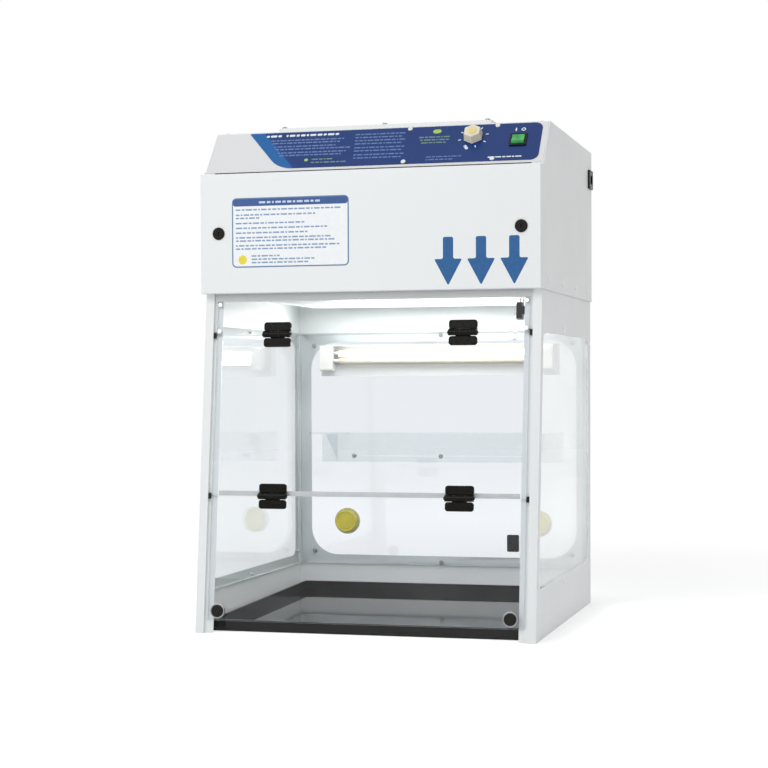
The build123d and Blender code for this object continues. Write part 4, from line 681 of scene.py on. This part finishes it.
def tube_caps():
    """Metal caps at the ends of both lamp tubes."""
    places = []
    for height in TUBE_HEIGHTS:
        for side in (-1.0, 1.0):
            inward = Vector((-side, 0.0, 0.0))
            axes = turned(Vector((0.0, 1.0, 0.0)), inward.cross(Vector((0.0, 1.0, 0.0))),
                          Vector((side * TUBE_HALF, TUBE_REAR, height)))
            places.append((axes, (0.0, 0.0, 0.0)))
    cap = ((6.45, 0.2), (6.75, 0.4), (6.75, 9.6), (6.45, 10.2))
    ring_pieces("tube_caps", "cabinet", mill_aluminium, cap, places, 28)


def speed_knob_cap():
    """The pale cap in the middle of the speed knob."""
    axes = slope_frame()
    centre = (SPEED_KNOB[0], SPEED_KNOB[1], OVERLAY_FACE)
    cap = ((0.8, 15.2), (8.0, 15.2), (8.8, 15.6), (8.4, 16.8), (6.4, 17.3), (0.8, 17.5))
    cream = moulded("knob_cap_cream", paint(238, 224, 166), paint(226, 206, 142))
    ring_pieces("speed_knob_cap", "speed_knob", cream, cap, [(axes, centre)])


# Camera, lamps and floor

CAMERA_PLACE = (855.7, -3327.8, 433.9)
CAMERA_TURN = (math.radians(90.0 - 1.405), math.radians(15.058), math.radians(-0.234))
PIXELS = 768.0
FOCAL_PIXELS = 1841.8
HORIZON_ROW = 430.0


def camera():
    lens = bpy.data.cameras.new("camera")
    lens.sensor_width = 36.0
    lens.lens = FOCAL_PIXELS * lens.sensor_width / PIXELS
    lens.shift_y = (HORIZON_ROW - PIXELS / 2) / PIXELS
    lens.clip_end = 60.0
    eye = bpy.data.objects.new("camera", lens)
    tilt, turn, roll = CAMERA_TURN
    facing = Matrix.Rotation(turn, 4, "Z") @ Matrix.Rotation(tilt, 4, "X")
    facing = facing @ Matrix.Rotation(roll, 4, "Z")
    eye.matrix_world = Matrix.Translation(Vector(CAMERA_PLACE) * MM) @ facing
    scene.collection.objects.link(eye)
    scene.camera = eye


def soft_lamp(name, place, aim, size, power, colour=(1.0, 1.0, 1.0)):
    """A large soft lamp that the camera doesn't see."""
    lamp = bpy.data.lights.new(name, "AREA")
    lamp.shape = "RECTANGLE"
    lamp.size, lamp.size_y = size
    lamp.energy = power
    lamp.color = colour
    stand = bpy.data.objects.new(name, lamp)
    direction = Vector(aim) - Vector(place)
    facing = direction.to_track_quat("-Z", "Y").to_matrix().to_4x4()
    stand.matrix_world = Matrix.Translation(place) @ facing
    stand.visible_camera = False
    scene.collection.objects.link(stand)


def studio():
    """Soft room light, a white surround and a pale floor."""
    world = bpy.data.worlds.new("studio")
    scene.world = world
    world.use_nodes = True
    tree = world.node_tree
    room = tree.nodes["Background"]
    room.inputs["Color"].default_value = (1.0, 1.0, 1.0, 1.0)
    room.inputs["Strength"].default_value = 0.56
    white = tree.nodes.new("ShaderNodeBackground")
    white.inputs["Color"].default_value = (1.0, 1.0, 1.0, 1.0)
    white.inputs["Strength"].default_value = 1.0
    seen = seen_directly(tree)
    mix = tree.nodes.new("ShaderNodeMixShader")
    tree.links.new(seen, mix.inputs["Fac"])
    tree.links.new(room.outputs["Background"], mix.inputs[1])
    tree.links.new(white.outputs["Background"], mix.inputs[2])
    tree.links.new(mix.outputs["Shader"], tree.nodes["World Output"].inputs["Surface"])
    soft_lamp("front_lamp", place=(-0.9, -3.0, 2.3), aim=(0.0, 0.0, 0.45), size=(2.4, 1.8), power=42.0)
    soft_lamp("top_lamp", place=(0.2, -0.2, 3.2), aim=(0.0, 0.0, 0.4), size=(2.6, 2.6), power=7.0)
    soft_lamp("tube_lamp", place=(0.0, 0.235, 0.489), aim=(0.0, 0.0, 0.6), size=(0.42, 0.03), power=1.6,
              colour=(1.0, 0.98, 0.93))
    soft_lamp("ceiling_lamp", place=(0.0, 0.03, 0.583), aim=(0.0, 0.03, 0.0), size=(0.46, 0.42),
              power=1.4, colour=(1.0, 0.99, 0.96))
    floor()


def seen_directly(tree):
    """One where a ray comes straight from the eye, a mirror or a window."""
    path = tree.nodes.new("ShaderNodeLightPath")
    first = tree.nodes.new("ShaderNodeMath")
    first.operation = "MAXIMUM"
    tree.links.new(path.outputs["Is Camera Ray"], first.inputs[0])
    tree.links.new(path.outputs["Is Glossy Ray"], first.inputs[1])
    second = tree.nodes.new("ShaderNodeMath")
    second.operation = "MAXIMUM"
    tree.links.new(first.outputs["Value"], second.inputs[0])
    tree.links.new(path.outputs["Is Transmission Ray"], second.inputs[1])
    return second.outputs["Value"]


def floor():
    """A pale floor that keeps the shadow; a glow seen only by direct rays, weaker near the middle and
    stronger further out, paints it white away from the object.
    """
    form = bmesh.new()
    bmesh.ops.create_circle(form, cap_ends=True, segments=96, radius=9.0)
    mesh = bpy.data.meshes.new("floor")
    form.to_mesh(mesh)
    form.free()
    ground = bpy.data.objects.new("floor", mesh)
    scene.collection.objects.link(ground)
    cloth = Finish("pale_floor", roughness=0.9)
    cloth.colour(cloth.mottled(cloth.noise(1.3, 3.0), paint(243, 243, 243), paint(240, 240, 240)))
    glow = cloth.node("ShaderNodeEmission")
    reach = cloth.node("ShaderNodeVectorMath", operation="LENGTH")
    cloth.link(cloth.place.outputs["Object"], reach.inputs[0])
    near, far = 0.7, 2.4
    near_glow, far_glow = 0.33, 0.47
    # Painted light: the floor's glow grows with distance from the middle.
    lift = cloth.spread(reach.outputs["Value"], near_glow, far_glow, near, far)
    cloth.link(cloth.math("MULTIPLY", seen_directly(cloth.tree), lift), glow.inputs["Strength"])
    both = cloth.node("ShaderNodeAddShader")
    cloth.link(cloth.shader.outputs["BSDF"], both.inputs[0])
    cloth.link(glow.outputs["Emission"], both.inputs[1])
    cloth.link(both.outputs["Shader"], cloth.output.inputs["Surface"])
    mesh.materials.append(cloth.material)


camera()
dress_frame()
door_label()
airflow_arrows()
control_film()
control_print()
knob_fittings()
port_plug_rings()
tube_caps()
speed_knob_cap()
studio()
